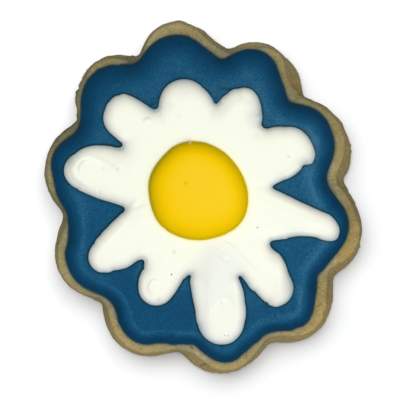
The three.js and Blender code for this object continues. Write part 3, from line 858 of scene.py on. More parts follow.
def dough():
    m = Mesh()
    rows = []
    foot = inset(nicked(lobed(BASE), [], 0.0, (0.0, 0.07)), outer, FOOT_INSET)

    def ring(xy, z):
        rows.append((m.points(xy, z), xy))

    ring(foot, 0.0)
    for t in (0.25, 0.5, 0.75):
        c, s = math.cos(t * math.pi / 2), math.sin(t * math.pi / 2)
        ring(outer + (foot - outer) * (1 - s), DOUGH_WIDEST_Z * (1 - c))
    ring(outer, DOUGH_WIDEST_Z)
    steps = 20
    for k in range(1, steps + 1):
        t = k / steps
        r = r_base + (r_top - r_base) * t
        ring(MIDDLE + r[:, None] * rays, DOUGH_WIDEST_Z + (DOUGH_CREASE_Z - DOUGH_WIDEST_Z) * t)
    for t in (0.2, 0.4, 0.6, 0.8, 1.0):
        c, s = math.cos(t * math.pi / 2), math.sin(t * math.pi / 2)
        ring(MIDDLE + (r_top - RIM_ROUND * (1 - c))[:, None] * rays, DOUGH_CREASE_Z + (DOUGH_TOP - DOUGH_CREASE_Z) * s)
    start = r_top - RIM_ROUND
    stop = np.minimum(r_ice - 1.2, start - 0.6)
    steps = 14
    for k in range(1, steps + 1):
        ring(MIDDLE + (start + (stop - start) * k / steps)[:, None] * rays, DOUGH_TOP)
    for (a, _), (b, _) in zip(rows, rows[1:]):
        m.strip(a, b)
    ids, xy = rows[-1]
    hidden = honeycomb(lambda P: icing_line(P) < -3.0, 1.6)
    rr = np.hypot(*(hidden - MIDDLE).T)
    lim = np.interp(np.arctan2(hidden[:, 1] - MIDDLE[1], hidden[:, 0] - MIDDLE[0]), angles[order], stop[order], period=2 * np.pi)
    hidden = hidden[rr < lim - 1.0]
    m.cap(ids, xy, m.points(hidden, DOUGH_TOP), hidden, True)
    ids, xy = rows[0]
    under = honeycomb(lambda P: lobed(BASE)(P) < -FOOT_INSET - 0.35, 0.5)
    first_under = m.count
    m.cap(ids, xy, m.points(under, 0.0), under, False)
    m.done()
    v, f = m.v, m.f
    xy, z = v[:, :2].copy(), v[:, 2].copy()
    inside_top = -icing_line(xy)
    shown = 1 - step(0.3, 1.4, inside_top) * (z > 6.0)
    below = z < 0.01
    wall = step(1.0, 2.0, z) * (1 - step(5.2, 6.0, z))
    rim = step(5.6, 6.2, z) * shown
    n = normals(v, f)
    # the crumb: soft lumps, fine grain, streaks along the wall where the rolled dough was cut, open pores
    lumps = 0.085 * layered(v, 2.6, 2, 41) + 0.05 * noise(v, 0.95, 44)
    grain = 0.045 * noise(v, 0.5, 45)
    nibble = 0.16 * np.clip(noise(v, 0.85, 46), -1, 0.4) * step(0.05, 0.45, noise(v, 8.0, 47)) * (1 - step(3.0, 5.0, z))
    streak = 0.085 * layered(v, (3.2, 3.2, 0.62), 2, 51) * wall
    d1, t1 = cells(v, 1.45, 61)
    pores = -0.26 * (1 - step(0.0, 0.30, d1)) * (t1 > 0.62)
    d2, t2 = cells(v, 0.8, 62)
    small = -0.13 * (1 - step(0.0, 0.36, d2)) * (t2 > 0.55)
    knob = 0.13 * (1 - step(0.0, 0.34, d1)) * (t1 < 0.10) * step(1.5, 3.5, z)
    move = (lumps + grain + nibble + streak + pores * (0.45 + 0.55 * wall) + small + knob) * shown * (z > 0.01)
    move -= 0.22 * spots(PITS, v, shown)
    move *= step(0.0, 0.8, z) * 0.8 + 0.2
    v = v + n * move[:, None]
    # the underside rests on the tray: flat, with shallow pores that open upwards
    db, tb = cells(m.v, 2.1, 63)
    hollow = 0.22 * (1 - step(0.05, 0.33, db)) * (tb > 0.55) + 0.05 * np.clip(layered(m.v, 3.0, 3, 64), 0, 1)
    lo = np.arange(len(v)) >= first_under
    v[lo, 2] = hollow[lo]
    v[below & ~lo, 2] = 0.0
    v[:, 2] = np.maximum(v[:, 2], 0.0)
    m.v = v
    # painted shade in the open pores and, below, in the underside's hollows
    deep = np.clip(-(pores + small) / 0.3, 0, 1) * shown
    deep[lo] = np.clip(hollow[lo] / 0.25, 0, 1)
    # where the dough meets the icing: navy bleeding into the crumb, and painted shade with a painted bounce of navy
    # light under the icing's edge
    bleed_and_shade = np.exp(-(np.clip(-inside_top, 0, 9) / 0.30) ** 2) * (z > 5.4)
    height = np.where(z > 6.3, 1.0, z / DOUGH_TOP)
    # painted light and shade, with some drift in the bake's colour
    drift = dough_drift_and_shade(v[:, :2])
    # short streaks that run out from the icing, where the surface tore a little as it baked
    turn = np.arctan2(v[:, 1] - MIDDLE[1], v[:, 0] - MIDDLE[0])
    out = np.hypot(v[:, 0] - MIDDLE[0], v[:, 1] - MIDDLE[1])
    polar = np.c_[np.cos(turn) * 41 / 0.55, np.sin(turn) * 41 / 0.55, out / 1.9]
    torn = np.clip(noise(polar, 1.0, 71) + 0.5 * noise(polar * 1.9, 1.0, 72), -1, 1) * step(-0.1, 0.4, noise(v, 7.0, 73)) * (1 - 0.8 * wall)
    # painted shade along the crease where the flat rim turns down into the wall, clearest where the wall leans out and
    # on the east side
    lean = np.interp(turn, angles[order], (r_base - r_top)[order], period=2 * np.pi)
    crease = np.exp(-((z - 5.35) / 0.42) ** 2) * step(0.5, 1.3, lean) * np.clip(0.75 + 0.5 * noise(v, 3.0, 74), 0.2, 1)
    crease *= 0.35 + 0.65 * step(-0.1, 0.5, around(v[:, :2])[0])
    return m, dict(deep=deep, bleed_and_shade=bleed_and_shade, height=height, under=np.where(lo | below, 1.0, 0.0), drift=drift, torn=torn, crease=crease,
                   pit=spots(PITS, v, shown), toasted=spots(TOASTED, v, shown), fleck=spots(FLECKS, v, shown))


# ------------------------------------------------------------------ icing layers
def layer(line, spacing, lower, floor_z, heights, insets, relief, inner, relax_from=1.0, relax_rounds=16):
    """Rings from the hidden bottom up round the edge, then loose points over the top.
    lower: [(inset, share of the way from the floor to the widest line)]."""
    m = Mesh()
    edge = trace(line, spacing)
    edge_z = heights(edge)
    base_z = floor_z(edge)
    rows = []
    for depth, share in lower:
        xy = inset(line, edge, depth) if depth > 0 else edge
        rows.append((m.points(xy, base_z + (edge_z - base_z) * share if share >= 0 else base_z + share), xy, 0.0))
    widest = len(rows)
    previous = edge
    rows.append((m.points(edge, edge_z), edge, 0.0))
    for depth in insets:
        previous = settle(line, previous, -depth, 3)
        rows.append((m.points(previous, heights(previous)), previous, depth))
    for (a, _, _), (b, _, _) in zip(rows, rows[1:]):
        m.strip(a, b)
    ids, xy, _ = rows[0]
    coarse = honeycomb(lambda P: line(P) < -2.5, 2.4)
    m.cap(ids, xy, m.points(coarse, 0.0), coarse, False)
    m.rows[-1][:, 2] = floor_z(coarse) + lower[0][1] if len(coarse) else 0
    ids, xy, _ = rows[-1]
    top = m.points(inner, heights(inner))
    m.cap(ids, xy, top, inner, True)
    m.done()
    depth = np.clip(-line(m.v[:, :2]), 0, None)
    on_top = np.zeros(m.count)
    for r in rows[widest:]:
        on_top[r[0]] = 1
    on_top[top] = 1
    weight = on_top * step(relax_from, relax_from + 0.6, depth)
    relax(m.v, m.f, weight, relax_rounds)
    m.v[:, 2] += relief(m.v[:, :2]) * on_top
    for r in rows[:widest]:
        depth[r[0]] = 0
    return m, depth, on_top


def blue():
    def wanted(P):
        d = -icing_line(P)
        return (d > 1.9) & (petal_line(P) > -0.9)

    def buried(P):
        return (-icing_line(P) > 1.9) & (petal_line(P) < -1.6)

    inner = honeycomb(wanted, 0.20)
    close = honeycomb(wanted, 0.115, seed=3)
    inner = np.vstack([inner[~near_marks(BLUE_LINES, BLUE_DOTS, inner)], close[near_marks(BLUE_LINES, BLUE_DOTS, close)],
                       honeycomb(buried, 1.5, seed=2)])
    insets = [0.02, 0.07, 0.15, 0.26, 0.40, 0.56, 0.74, 0.94, 1.15, 1.36, 1.57, 1.78]

    def relief(P):
        g = petal_gap(P)
        D = -icing_line(P)
        fine = 0.010 * noise(flat(P), 1.1, 5) + 0.006 * noise(flat(P), 0.5, 6)
        groove = -0.10 * np.exp(-np.clip(g, 0, 9) / 0.22) + 0.03 * np.exp(-((g - 0.75) / 0.35) ** 2)
        return fine * step(0.3, 1.5, D) + groove + marks(BLUE_LINES, BLUE_DOTS, P, 2)

    m, depth, on_top = layer(icing_line, 0.22, [(0.30, -0.3), (0.30, 0.0), (0.12, 0.30), (0.03, 0.65)], dough_height,
                             blue_height, insets, relief, inner)
    P = m.v[:, :2]
    depth = np.where(depth > 0, blue_depth(P), 0)
    east, north = around(P)
    gap = petal_gap(P)
    crest = np.exp(-((depth - ridge_at(P)) / (ridge_width(P) * 0.9)) ** 2)
    tone = blue_tone_and_shade(P, depth, gap, crest, east, north)
    pinch = np.clip(sum(bell(P, x, y, 1.2) for (x, y), _, _, _ in valleys), 0, 1)
    grey = np.maximum((0.9 + 0.1 * pinch) * np.exp(-(gap / (0.56 + 0.26 * pinch)) ** 3) * (gap > 0), np.exp(-(depth / 0.47) ** 3))
    return m, dict(tone=tone, depth=depth, grey=grey, north=0.5 + 0.5 * north)


def blue_tone_and_shade(P, depth, gap, crest, east, north):
    """How light the navy is painted, 0 to 1: dark at the border, where it pools and where painted shade falls as it
    rolls down; a painted highlight along the ridge, then the field; lighter or darker with the side of the cookie it
    lies on.
    """
    turn, oval = east * north, north ** 2 - east ** 2
    border = 54.0 - 1.8 * east - 0.9 * north + 0.5 * turn
    peak_at = 4.65 - 0.15 * east + 1.9 * north - 0.8 * turn + 0.2 * oval
    peak = 85.1 + 7.0 * east + 0.2 * turn - 4.2 * oval
    field = 77.9 + 2.5 * east + 4.2 * north - 2.3 * turn - 1.2 * oval
    width = 3.15 + 2.0 * north
    t = np.clip((depth - 1.2) / (peak_at - 1.2), 0, 1)
    rise = 0.9 * t + 0.1 * t * t * (3 - 2 * t)
    level = border + (peak - border) * rise + (field - peak) * step(0.0, 1.0, (depth - peak_at - 0.1) / width)
    # painted shade and painted light standing for hollows and swells where the flood ran round the petals
    for x, y, amount, w in ((31.8, -4.0, -14, 1.4), (28.1, 13.6, 12, 0.9), (27.8, 5.5, 9, 1.0), (24.8, 18.6, -8, 1.5),
                            (-23.7, 26.3, -6, 2.5), (-21.6, -28.3, -6, 2.5), (-33.4, -11.5, -3, 2.3), (-31.5, -4.0, 3, 1.2), (13.3, 32.5, -6, 1.6),
                            (26.5, -23.0, -9, 1.0), (23.0, -23.5, 7, 1.5), (-4.3, -22.3, 9, 1.5), (-15.6, -18.0, 8, 1.5),
                            (11.0, -25.3, 6, 2.5)):
        level = level + amount * bell(P, x, y, w)
    # painted light and shade of the marks
    level = level + marks(BLUE_LINES, BLUE_DOTS, P, 0)
    # painted shade in the corners of the notches between petals
    for (x, y), _, _, _ in valleys:
        level = level - 13 * bell(P, x, y, 1.2) * np.exp(-(gap / 0.5) ** 2)
    # painted shade: a dark line along the foot of the petals, darkest where their edge faces north
    n = facing(petal_line, P)
    level = level - (20 + 9 * n[:, 1] - 2 * n[:, 0]) * np.exp(-(gap / 0.40) ** 2) * (gap > 0)
    return (level - 45) / 60


def white_tone_and_shade(P, depth):
    """How light the white is painted, 0 to 1: painted shade where it rolls down to its edge, widest round the tips and
    up the flower.
    """
    n = facing(petal_line, P)
    east, north = around(P)
    tip = n[:, 0] * east + n[:, 1] * north
    deep = 67.3 + 4.8 * n[:, 0] + 2.3 * n[:, 1] + 10.8 * tip
    run = 1.094 - 0.069 * n[:, 0] + 0.036 * n[:, 1] + 0.125 * tip - 0.056 * east + 0.076 * north + 0.155 * tip * north
    level = 248.1 - deep * np.exp(-(depth / run) ** 1.18) + 14 * np.exp(-depth / 0.25)
    level = level - 5.2 * cool_petal(P)
    # painted shade for hollows by the notches and the shaded tips, painted light for swells along the sides
    for x, y, amount, w in ((13.0, 19.7, -16, 1.6), (-13.0, 21.0, -5, 1.4), (-20.8, 9.2, -7, 2.0), (-18.2, -2.5, -3, 0.8),
                            (26.0, 8.7, -20, 0.9), (22.1, -23.0, -26, 2.4), (-33.1, 8.5, -20, 1.0), (-0.8, -19.0, -9, 2.4),
                            (9.0, -22.3, 11, 1.4), (-29.3, 9.4, 5, 1.2), (3.7, 21.2, -4, 1.5), (-14.2, -15.7, 13, 1.0),
                            (-0.8, -33.0, -18, 1.5), (14.8, 16.5, 27, 0.9), (17.3, -11.0, 14, 1.5), (-20.1, 14.0, 14, 1.4),
                            (27.4, -10.0, 13, 1.5), (33.4, -10.8, -14, 1.3), (17.5, 2.2, 11, 1.5), (27.5, 12.2, 17, 0.9),
                            (3.0, 22.3, 13, 0.9), (-11.2, 21.0, 11, 0.8), (25.4, 14.0, 7, 1.0), (11.4, 25.6, 8, 1.2),
                            (-4.3, 26.8, -9, 2.0), (17.6, -15.8, -9, 0.8), (17.6, -25.7, -9, 0.9), (1.5, -13.3, -5, 2.2), (9.1, -19.4, 16, 0.5)):
        level = level + amount * bell(P, x, y, w)
    # painted light and shade of the marks
    level = level + marks(WHITE_LINES, WHITE_DOTS, P, 0)
    return (level - 130) / 125


def cool_petal(P):
    """1 on the lowest petal, which is a cooler white than the rest, less so on the bead at its tip."""
    bead = 1 - step(0.80, 1.10, np.hypot((P[:, 0] - 4.9) / 3.9, (P[:, 1] + 31.3) / 5.9))
    west = 0.35 * (1 - step(0.5, 2.5, P[:, 0])) * (1 - step(-24, -18, P[:, 1]))
    return (1 - 0.45 * bead + west) * (1 - step(2.5, 7.0, np.hypot((P[:, 0] - 4.6) * 0.9, np.clip(P[:, 1] + 19, 0, 99) * 0.7)))


def yellow_shade(P, depth):
    """How light the yellow is painted, 0 to 1: painted shade as it rolls under, most on the sides that face north."""
    n = facing(button_line, P)
    level = 204 + (57 - 2.5 * n[:, 0] + 30 * n[:, 1]) * np.exp(-depth / 0.5)
    level = level - (69.6 + 30 * n[:, 1]) * np.exp(-depth / 1.5) + (0.7 + 4.7 * n[:, 0] + 6.1 * n[:, 1]) * np.exp(-depth / 4)
    return (level - 130) / 90


# how the painted light and shade, with some drift in the bake's colour, change round the flower: one row of factors for
# each channel
DOUGH_DRIFT_AND_SHADE = [
    [0.035, 0.10, 0.03, 0.06, 0.02, -0.03, 0.11, 0.05, -0.13, -0.05, -0.19, 0.06, -0.03, -0.57, 0.03, -0.12,
     -0.09, -0.09, 0.10, 0.04, -0.17, -0.06],
    [0.08, 0.05, 0.04, 0.03, 0.04, -0.03, 0.07, 0.03, -0.15, -0.03, -0.15, 0.11, -0.04, -0.37, 0.06, -0.12,
     -0.10, -0.08, 0.05, -0.01, -0.17, -0.11],
    [0.13, -0.02, 0.05, -0.01, 0.11, 0.04, 0.00, 0.12, -0.14, 0.04, -0.27, 0.20, 0.01, -0.10, 0.12, -0.19,
     -0.13, -0.07, -0.06, -0.13, -0.18, -0.25]]


def dough_drift_and_shade(P):
    """Painted light and shade, with some drift in the bake's colour: a factor for each channel that changes round the
    flower, up the wall, with the way the wall faces, from lobe tips to valleys and beside the icing.
    """
    east, north = around(P)
    out = np.clip(-base_line(P), 0, 5)
    gap = np.clip(icing_line(P), 0, 9)
    one = np.ones(len(P))
    turns = [one, east, north, east * north, north ** 2 - east ** 2]
    t = out / 4 - 0.5
    n = facing(base_line, P)
    lobe = np.clip((np.hypot(*(P - MIDDLE).T) + out - 41) / 4, -1.2, 1.2)
    own = [n[:, 0], n[:, 1], lobe]
    terms = turns + [t * k for k in turns] + [np.exp(-out / 0.25) * k for k in turns[:3]] + [np.exp(-gap / 0.8) * k for k in turns[:3]]
    terms += own + [t * k for k in own]
    drift = np.clip(np.stack(terms, 1) @ np.array(DOUGH_DRIFT_AND_SHADE).T, -1.2, 0.8)
    # patches a little darker or paler
    for x, y, amount, w in ((-33.8, 16.3, -0.33, 2.8), (11.8, 38.2, 0.38, 2.6), (-16.1, 35.3, 0.18, 1.2), (24.4, 25.4, -0.22, 1.3), (22.3, 30.0, -0.08, 2.0), (-37.2, 13.2, -0.18, 1.5),
                            (10.5, -41.2, -0.14, 1.6), (-31.4, 26.0, -0.18, 1.5), (36.8, -4.5, -0.14, 2.5),
                            (33.3, 16.4, -0.14, 1.5), (-7.5, 44.0, 0.16, 1.4), (30.7, -19.2, 0.13, 1.4), (-12.3, 41.8, 0.14, 1.4),
                            (-39.3, 6.6, 0.13, 1.2), (-35.8, -20.0, 0.14, 1.5), (-26.1, 33.1, -0.12, 1.3),
                            (-4.7, -39.0, -0.14, 1.5), (2.2, -41.7, -0.14, 1.5), (-35.3, -8.4, 0.17, 2.0)):
        drift += amount * bell(P, x, y, w)[:, None]
    # a little yellower or greyer
    for x, y, amount, w in ((22.0, 30.5, -0.14, 2.2), (9.5, 37.8, 0.10, 2.0), (-39.3, 7.3, 0.15, 1.8), (23.8, 26.5, -0.08, 1.5)):
        drift[:, 2] += amount * bell(P, x, y, w)
    return np.exp(drift)


def white():
    inner = honeycomb(lambda P: (-petal_line(P) > 0.88) & (button_line(P) > -1.2), 0.215)
    close = honeycomb(lambda P: (-petal_line(P) > 0.88) & (button_line(P) > -0.2), 0.115, seed=3)
    inner = np.vstack([inner[~near_marks(WHITE_LINES, WHITE_DOTS, inner)], close[near_marks(WHITE_LINES, WHITE_DOTS, close)]])
    for x, y, r, _ in PINHOLES:
        inner = inner[np.hypot(inner[:, 0] - x, inner[:, 1] - y) > r * 1.75]
        ring = [(x, y)] + [(x + r * k * math.cos(a + k), y + r * k * math.sin(a + k)) for k in (0.4, 0.75, 1.05, 1.5)
                           for a in np.linspace(0, 2 * math.pi, 12, endpoint=False)]
        inner = np.vstack([inner, ring])
    inner = np.vstack([inner, honeycomb(lambda P: button_line(P) < -1.9, 1.4, seed=2)])
    insets = [0.015, 0.05, 0.11, 0.19, 0.29, 0.41, 0.55, 0.71]

    def relief(P):
        z = white_relief(P)
        for x, y, r, deep in PINHOLES:
            z = z - 0.34 * deep * np.exp(-(np.hypot(P[:, 0] - x, P[:, 1] - y) / (r * 0.75)) ** 4)
        return z

    m, depth, on_top = layer(petal_line, 0.215, [(0.25, -0.3), (0.16, 0.0), (0.07, 0.33), (0.015, 0.66)], blue_height,
                             white_height, insets, relief, inner)
    P = m.v[:, :2]
    # painted shade inside the pinholes
    speck = sum(deep * np.exp(-(np.hypot(P[:, 0] - x, P[:, 1] - y) / (r * 0.95)) ** 4) for x, y, r, deep in PINHOLES)
    depth = np.where(depth > 0, white_depth(P), 0)
    gap = np.clip(button_line(P), 0, 9)
    west = facing(button_line, P) @ np.array([-0.66, 0.75])
    # beside the button: the yellow bleeding into the white, and a painted glow of light bounced off the yellow
    beside = np.clip(0.66 * np.exp(-gap / 0.29) + 0.06 * np.exp(-gap / 1.2), 0, 1)
    shade = 0.42 * step(-0.1, 0.9, west) * np.exp(-gap / 0.75)
    n = facing(petal_line, P)
    # a cooler tint at the white's very edge: the navy showing through the thin icing, and painted navy light bounced
    # onto it
    edge_cool = np.exp(-(depth / 0.16) ** 2)
    # tint of the painted shade: warmer on the edges that face north, cooler on those that face south
    warmth = 0.5 + 0.5 * np.clip(n[:, 1] + 0.8 * bell(P, -32.3, 6.8, 1.6), -1, 1) * np.exp(-depth / 1.8) * step(0.1, 0.4, depth)
    # painted shade: a grey-brown smudge on the white just north of the button
    smudge_shade = 0.35 * bell(P, -3.3, 13.75, 0.45) + 0.2 * bell(P, -4.4, 13.7, 0.5) + 0.15 * bell(P, -5.9, 13.1, 0.6)
    return m, dict(tone=white_tone_and_shade(P, depth), speck=speck, cool=cool_petal(P), beside=beside, smudge_shade=smudge_shade, shade=shade,
                   edge_cool=edge_cool, warmth=warmth)


def yellow():
    inner = honeycomb(lambda P: -button_line(P) > 1.35, 0.21, reach=15)
    insets = [0.01, 0.04, 0.09, 0.16, 0.25, 0.36, 0.49, 0.64, 0.80, 0.97, 1.15]

    def floor_z(P):
        return np.full(len(P), WHITE_TOP - 0.05)

    m, depth, on_top = layer(button_line, 0.2, [(0.22, -0.3), (0.14, 0.0), (0.06, 0.33), (0.01, 0.66)], floor_z,
                             yellow_height, insets, lambda P: 0.006 * noise(flat(P), 0.9, 25), inner)
    P = m.v[:, :2]
    n = facing(button_line, P)
    # the rim's sides that face north-west, away from the light, get painted shade
    away = step(-0.25, 0.9, n[:, 1] * 0.72 - n[:, 0] * 0.69)
    smear = bell(P, -3.1, 13.2, 0.24)
    # painted shade in the dimple
    dimple = bell(P, -4.21, 2.86, 0.34)
    ring = np.exp(-((depth - 0.38) / 0.32) ** 2) * (1 - 0.5 * step(0.4, 1.0, n[:, 1])) * on_top
    return m, dict(tone=yellow_shade(P, depth), depth=depth, away=away, smear=smear, dimple=dimple, ring=ring)


# notches between petals, found on the outline itself
line = trace(petal_line, 0.4)
hub = np.array(HUB[:2])
radius = np.hypot(*(line - hub).T)
for i in range(len(line)):
    window = radius[np.arange(i - 20, i + 21) % len(line)]
    if radius[i] == window.min() and window.max() - radius[i] > 1.0:
        inward = (hub - line[i]) / np.linalg.norm(hub - line[i])
        deep, long_ = 0.16, 4.0
        for x, y, d, l in ((-19.6, -1.4, 0.34, 5.0), (-3.0, -16.6, 0.24, 4.0), (10.6, -18.9, 0.07, 4.0), (-9.3, -14.0, 0.2, 4.0)):
            if math.hypot(line[i][0] - x, line[i][1] - y) < 3.0:
                deep, long_ = d, l
        start = line[i] + inward * 0.2
        valleys.append(((start[0], start[1]), (inward[0], inward[1]), deep, long_))
print("notches:", len(valleys))

# ------------------------------------------------------------------ looks of the dough
bake = Material("baked_dough")
crumb = bake.noise(1.5, 3.0, 0.6)
fine = bake.noise(0.36, 2.0, 0.6, seed=0.31)
cloud = bake.noise(7.0, 2.0, 0.5, seed=0.17)
layers = bake.noise(2.2, 2.0, 0.55, stretch=(0.45, 0.45, 2.6), seed=0.05)
height = bake.read("height")
# darker down the wall than on the flat rim: partly the bake's own colour, partly painted shade on the steep wall
colour = bake.ramp(height, [(0.0, (0.205, 0.155, 0.068)), (0.18, (0.235, 0.185, 0.083)), (0.80, (0.245, 0.195, 0.092)),
                            (0.93, (0.300, 0.238, 0.112)), (1.0, (0.315, 0.250, 0.112))])
colour = bake.blend(bake.span(cloud, 0.35, 0.65), colour, (1.06, 1.00, 0.91), "MULTIPLY")
colour = bake.blend(bake.span(layers, 0.40, 0.62, 0, 0.55), colour, (0.80, 0.79, 0.76), "MULTIPLY")
colour = bake.blend(bake.span(crumb, 0.36, 0.66, 0.0, 0.75), colour, (1.20, 1.185, 1.165), "MULTIPLY")
colour = bake.blend(bake.math("MULTIPLY", bake.span(fine, 0.50, 0.72, 0.0, 0.80), bake.span(height, 0.75, 0.93, 0.7, 1.0)), colour, (0.62, 0.60, 0.56), "MULTIPLY")
colour = bake.blend(bake.span(bake.noise(0.29, 1.0, 0.5, seed=0.93), 0.50, 0.74, 0.0, 0.85), colour, (1.42, 1.40, 1.36), "MULTIPLY")
warm = bake.math("ADD", bake.span(bake.noise(1.0, 2.0, 0.6, seed=0.45), 0.32, 0.68, 0.0, 0.6), bake.span(bake.noise(0.42, 1.0, 0.5, seed=0.57), 0.3, 0.7, 0.0, 0.4))
colour = bake.blend(1.0, colour, bake.ramp(warm, [(0.15, (0.99, 0.995, 1.18)), (0.85, (1.01, 1.005, 0.81))]), "MULTIPLY")
rosy = bake.math("ADD", bake.span(bake.noise(0.9, 2.0, 0.6, seed=0.83), 0.32, 0.68, 0.0, 0.55), bake.span(bake.noise(0.40, 1.0, 0.5, seed=0.29), 0.3, 0.7, 0.0, 0.45))
colour = bake.blend(1.0, colour, bake.ramp(rosy, [(0.15, (0.87, 1.03, 1.0)), (0.85, (1.13, 0.97, 1.0))]), "MULTIPLY")
colour = bake.blend(1.0, colour, bake.ramp(bake.span(bake.read("torn"), -0.6, 0.6), [(0.0, (0.80, 0.79, 0.77)), (0.5, (1.0, 1.0, 1.0)), (1.0, (1.15, 1.15, 1.16))]), "MULTIPLY")
toast = bake.noise(2.8, 3.0, 0.65, seed=0.77)
colour = bake.blend(bake.span(toast, 0.58, 0.74, 0.0, 0.55), colour, (0.34, 0.205, 0.062))
# painted shade in the pores and in the underside's hollows
colour = bake.blend(bake.math("MULTIPLY", bake.read("deep"), 0.62), colour, (0.125, 0.080, 0.030))
speck = bake.span(bake.voronoi(1.9, 0.4), 0.05, 0.11, 1.0, 0.0)
colour = bake.blend(bake.math("MULTIPLY", speck, 0.55), colour, (0.185, 0.085, 0.028))
sugar = bake.span(bake.voronoi(2.7, 0.9), 0.035, 0.08, 1.0, 0.0)
colour = bake.blend(bake.math("MULTIPLY", sugar, 0.55), colour, (0.56, 0.50, 0.33))
pale = bake.span(bake.voronoi(1.2, 1.7), 0.10, 0.17, 1.0, 0.0)
colour = bake.blend(bake.math("MULTIPLY", pale, 0.50), colour, (0.47, 0.40, 0.23))
# painted shade along the crease
colour = bake.blend(bake.math("MULTIPLY", bake.read("crease"), 0.85), colour, (0.82, 0.76, 0.75), "MULTIPLY")
colour = bake.blend(bake.math("MULTIPLY", bake.read("toasted"), bake.span(fine, 0.35, 0.6, 0.5, 1.0)), colour, (1.15, 0.90, 0.74), "MULTIPLY")
colour = bake.blend(bake.math("MULTIPLY", bake.read("fleck"), 0.5), colour, (0.62, 0.57, 0.37))
# painted shade inside the holes
colour = bake.blend(bake.math("MULTIPLY", bake.read("pit"), 0.85), colour, (0.075, 0.052, 0.024))
# navy bleeding into the crumb, with painted shade and painted navy light at the foot of the icing
colour = bake.blend(bake.math("MULTIPLY", bake.read("bleed_and_shade"), 0.75), colour, (0.055, 0.080, 0.100))
# painted light and shade, with some drift in the bake's colour, as a factor on each channel
colour = bake.blend(1.0, colour, bake.read("drift", "Color"), "MULTIPLY")
under = bake.read("under")
brown = bake.ramp(bake.noise(4.5, 4.0, 0.62, seed=0.53), [(0.30, (0.150, 0.085, 0.030)), (0.5, (0.235, 0.150, 0.058)),
                                                          (0.72, (0.300, 0.215, 0.100))])
colour = bake.blend(bake.math("MULTIPLY", under, 0.75), colour, brown)
grain_bump = bake.bump(bake.noise(0.30, 3.0, 0.65, seed=0.21), 0.55, 0.16)
grain_bump = bake.bump(bake.noise(0.9, 2.0, 0.6, seed=0.61), 0.45, 0.25, grain_bump)
bake.shader(Base_Color=colour, Roughness=bake.span(fine, 0.3, 0.7, 0.82, 0.95), Normal=grain_bump)
bake.bsdf.inputs["Specular IOR Level"].default_value = 0.10

# ------------------------------------------------------------------ looks of the navy icing
navy = Material("blue_icing")
tone = navy.read("tone")
mottle = navy.noise(0.55, 2.0, 0.6)
drift = navy.noise(5.0, 2.0, 0.5, seed=0.11)
grain = navy.math("ADD", navy.span(mottle, 0.25, 0.75, -0.09, 0.09), navy.span(navy.noise(1.3, 2.0, 0.5, seed=0.37), 0.3, 0.7, -0.035, 0.035))
grain = navy.math("ADD", grain, navy.span(navy.noise(0.32, 1.0, 0.6, seed=0.63), 0.2, 0.8, -0.27, 0.27))
grain = navy.math("MULTIPLY", grain, navy.span(tone, 0.1, 0.65, 0.27, 1.0))
tone = navy.math("ADD", tone, navy.math("ADD", grain, navy.span(drift, 0.3, 0.7, -0.025, 0.025)))
# the navy's colour follows the painted light and shade in tone
colour = navy.ramp(tone, [(0.00, srgb(5, 45, 69)), (0.167, srgb(5, 55, 86)), (0.35, srgb(10, 66, 99.5)), (0.517, srgb(17, 76, 110)),
                          (0.65, srgb(27, 84, 117)), (0.80, srgb(38, 92, 123.5)), (0.95, srgb(48.5, 102, 134))])
colour = navy.blend(1.0, colour, navy.ramp(navy.read("north"), [(0.0, (0.88, 0.985, 1.0)), (0.5, (0.97, 1.0, 1.0)), (1.0, (1.20, 1.01, 0.985))]), "MULTIPLY")
colour = navy.blend(navy.read("grey"), colour, (2.6, 1.0, 0.62), "MULTIPLY")
navy.shader(Base_Color=colour, Roughness=navy.span(navy.noise(0.8, 2.0, 0.5, seed=0.4), 0.3, 0.7, 0.40, 0.50),
            Normal=navy.bump(navy.noise(0.32, 2.0, 0.55, seed=0.9), 0.12, 0.05))
navy.bsdf.inputs["Specular IOR Level"].default_value = 0.07

# ------------------------------------------------------------------ looks of the white icing
snow = Material("white_icing")
# the white's colour follows the painted light and shade in tone, greyer and bluer where shaded
colour = snow.ramp(snow.read("tone"), [(0.20, srgb(132, 155, 162)), (0.36, srgb(160, 175, 179)), (0.52, srgb(189, 195, 193)),
                                       (0.68, srgb(214, 215, 207)), (0.816, srgb(232, 232, 220)), (0.904, srgb(242, 243, 229)),
                                       (0.968, srgb(247, 251, 234)), (1.0, srgb(250, 255, 238))])
colour = snow.blend(snow.math("MULTIPLY", snow.read("cool"), 0.8), colour, (0.952, 0.972, 1.02), "MULTIPLY")
colour = snow.blend(snow.span(snow.noise(3.5, 2.0, 0.5, seed=0.3), 0.35, 0.65, 0.0, 0.5), colour, (0.985, 0.985, 0.97), "MULTIPLY")
# tint of the painted shade, warmer on north-facing edges and cooler on south-facing ones
colour = snow.blend(1.0, colour, snow.ramp(snow.read("warmth"), [(0.0, (0.985, 0.997, 1.03)), (0.5, (1.0, 1.0, 1.0)), (1.0, (1.01, 0.998, 0.945))]), "MULTIPLY")
# the navy showing through at the edge, and painted navy light bounced onto it
colour = snow.blend(snow.read("edge_cool"), colour, (0.84, 0.95, 1.0), "MULTIPLY")
colour = snow.blend(snow.read("shade"), colour, (0.80, 0.785, 0.80), "MULTIPLY")
# the yellow bleeding in, and a painted glow of light bounced off the yellow
colour = snow.blend(snow.read("beside"), colour, (0.93, 0.84, 0.14), "MULTIPLY")
# painted shade just north of the button
colour = snow.blend(snow.read("smudge_shade"), colour, (0.50, 0.44, 0.33), "MULTIPLY")
# painted shade inside the pinholes
colour = snow.blend(snow.read("speck"), colour, (0.10, 0.11, 0.10))
snow.shader(Base_Color=colour, Roughness=snow.span(snow.noise(0.9, 2.0, 0.5, seed=0.4), 0.3, 0.7, 0.42, 0.52),
            Normal=snow.bump(snow.noise(0.35, 2.0, 0.55, seed=0.9), 0.08, 0.04))
snow.bsdf.inputs["Specular IOR Level"].default_value = 0.08

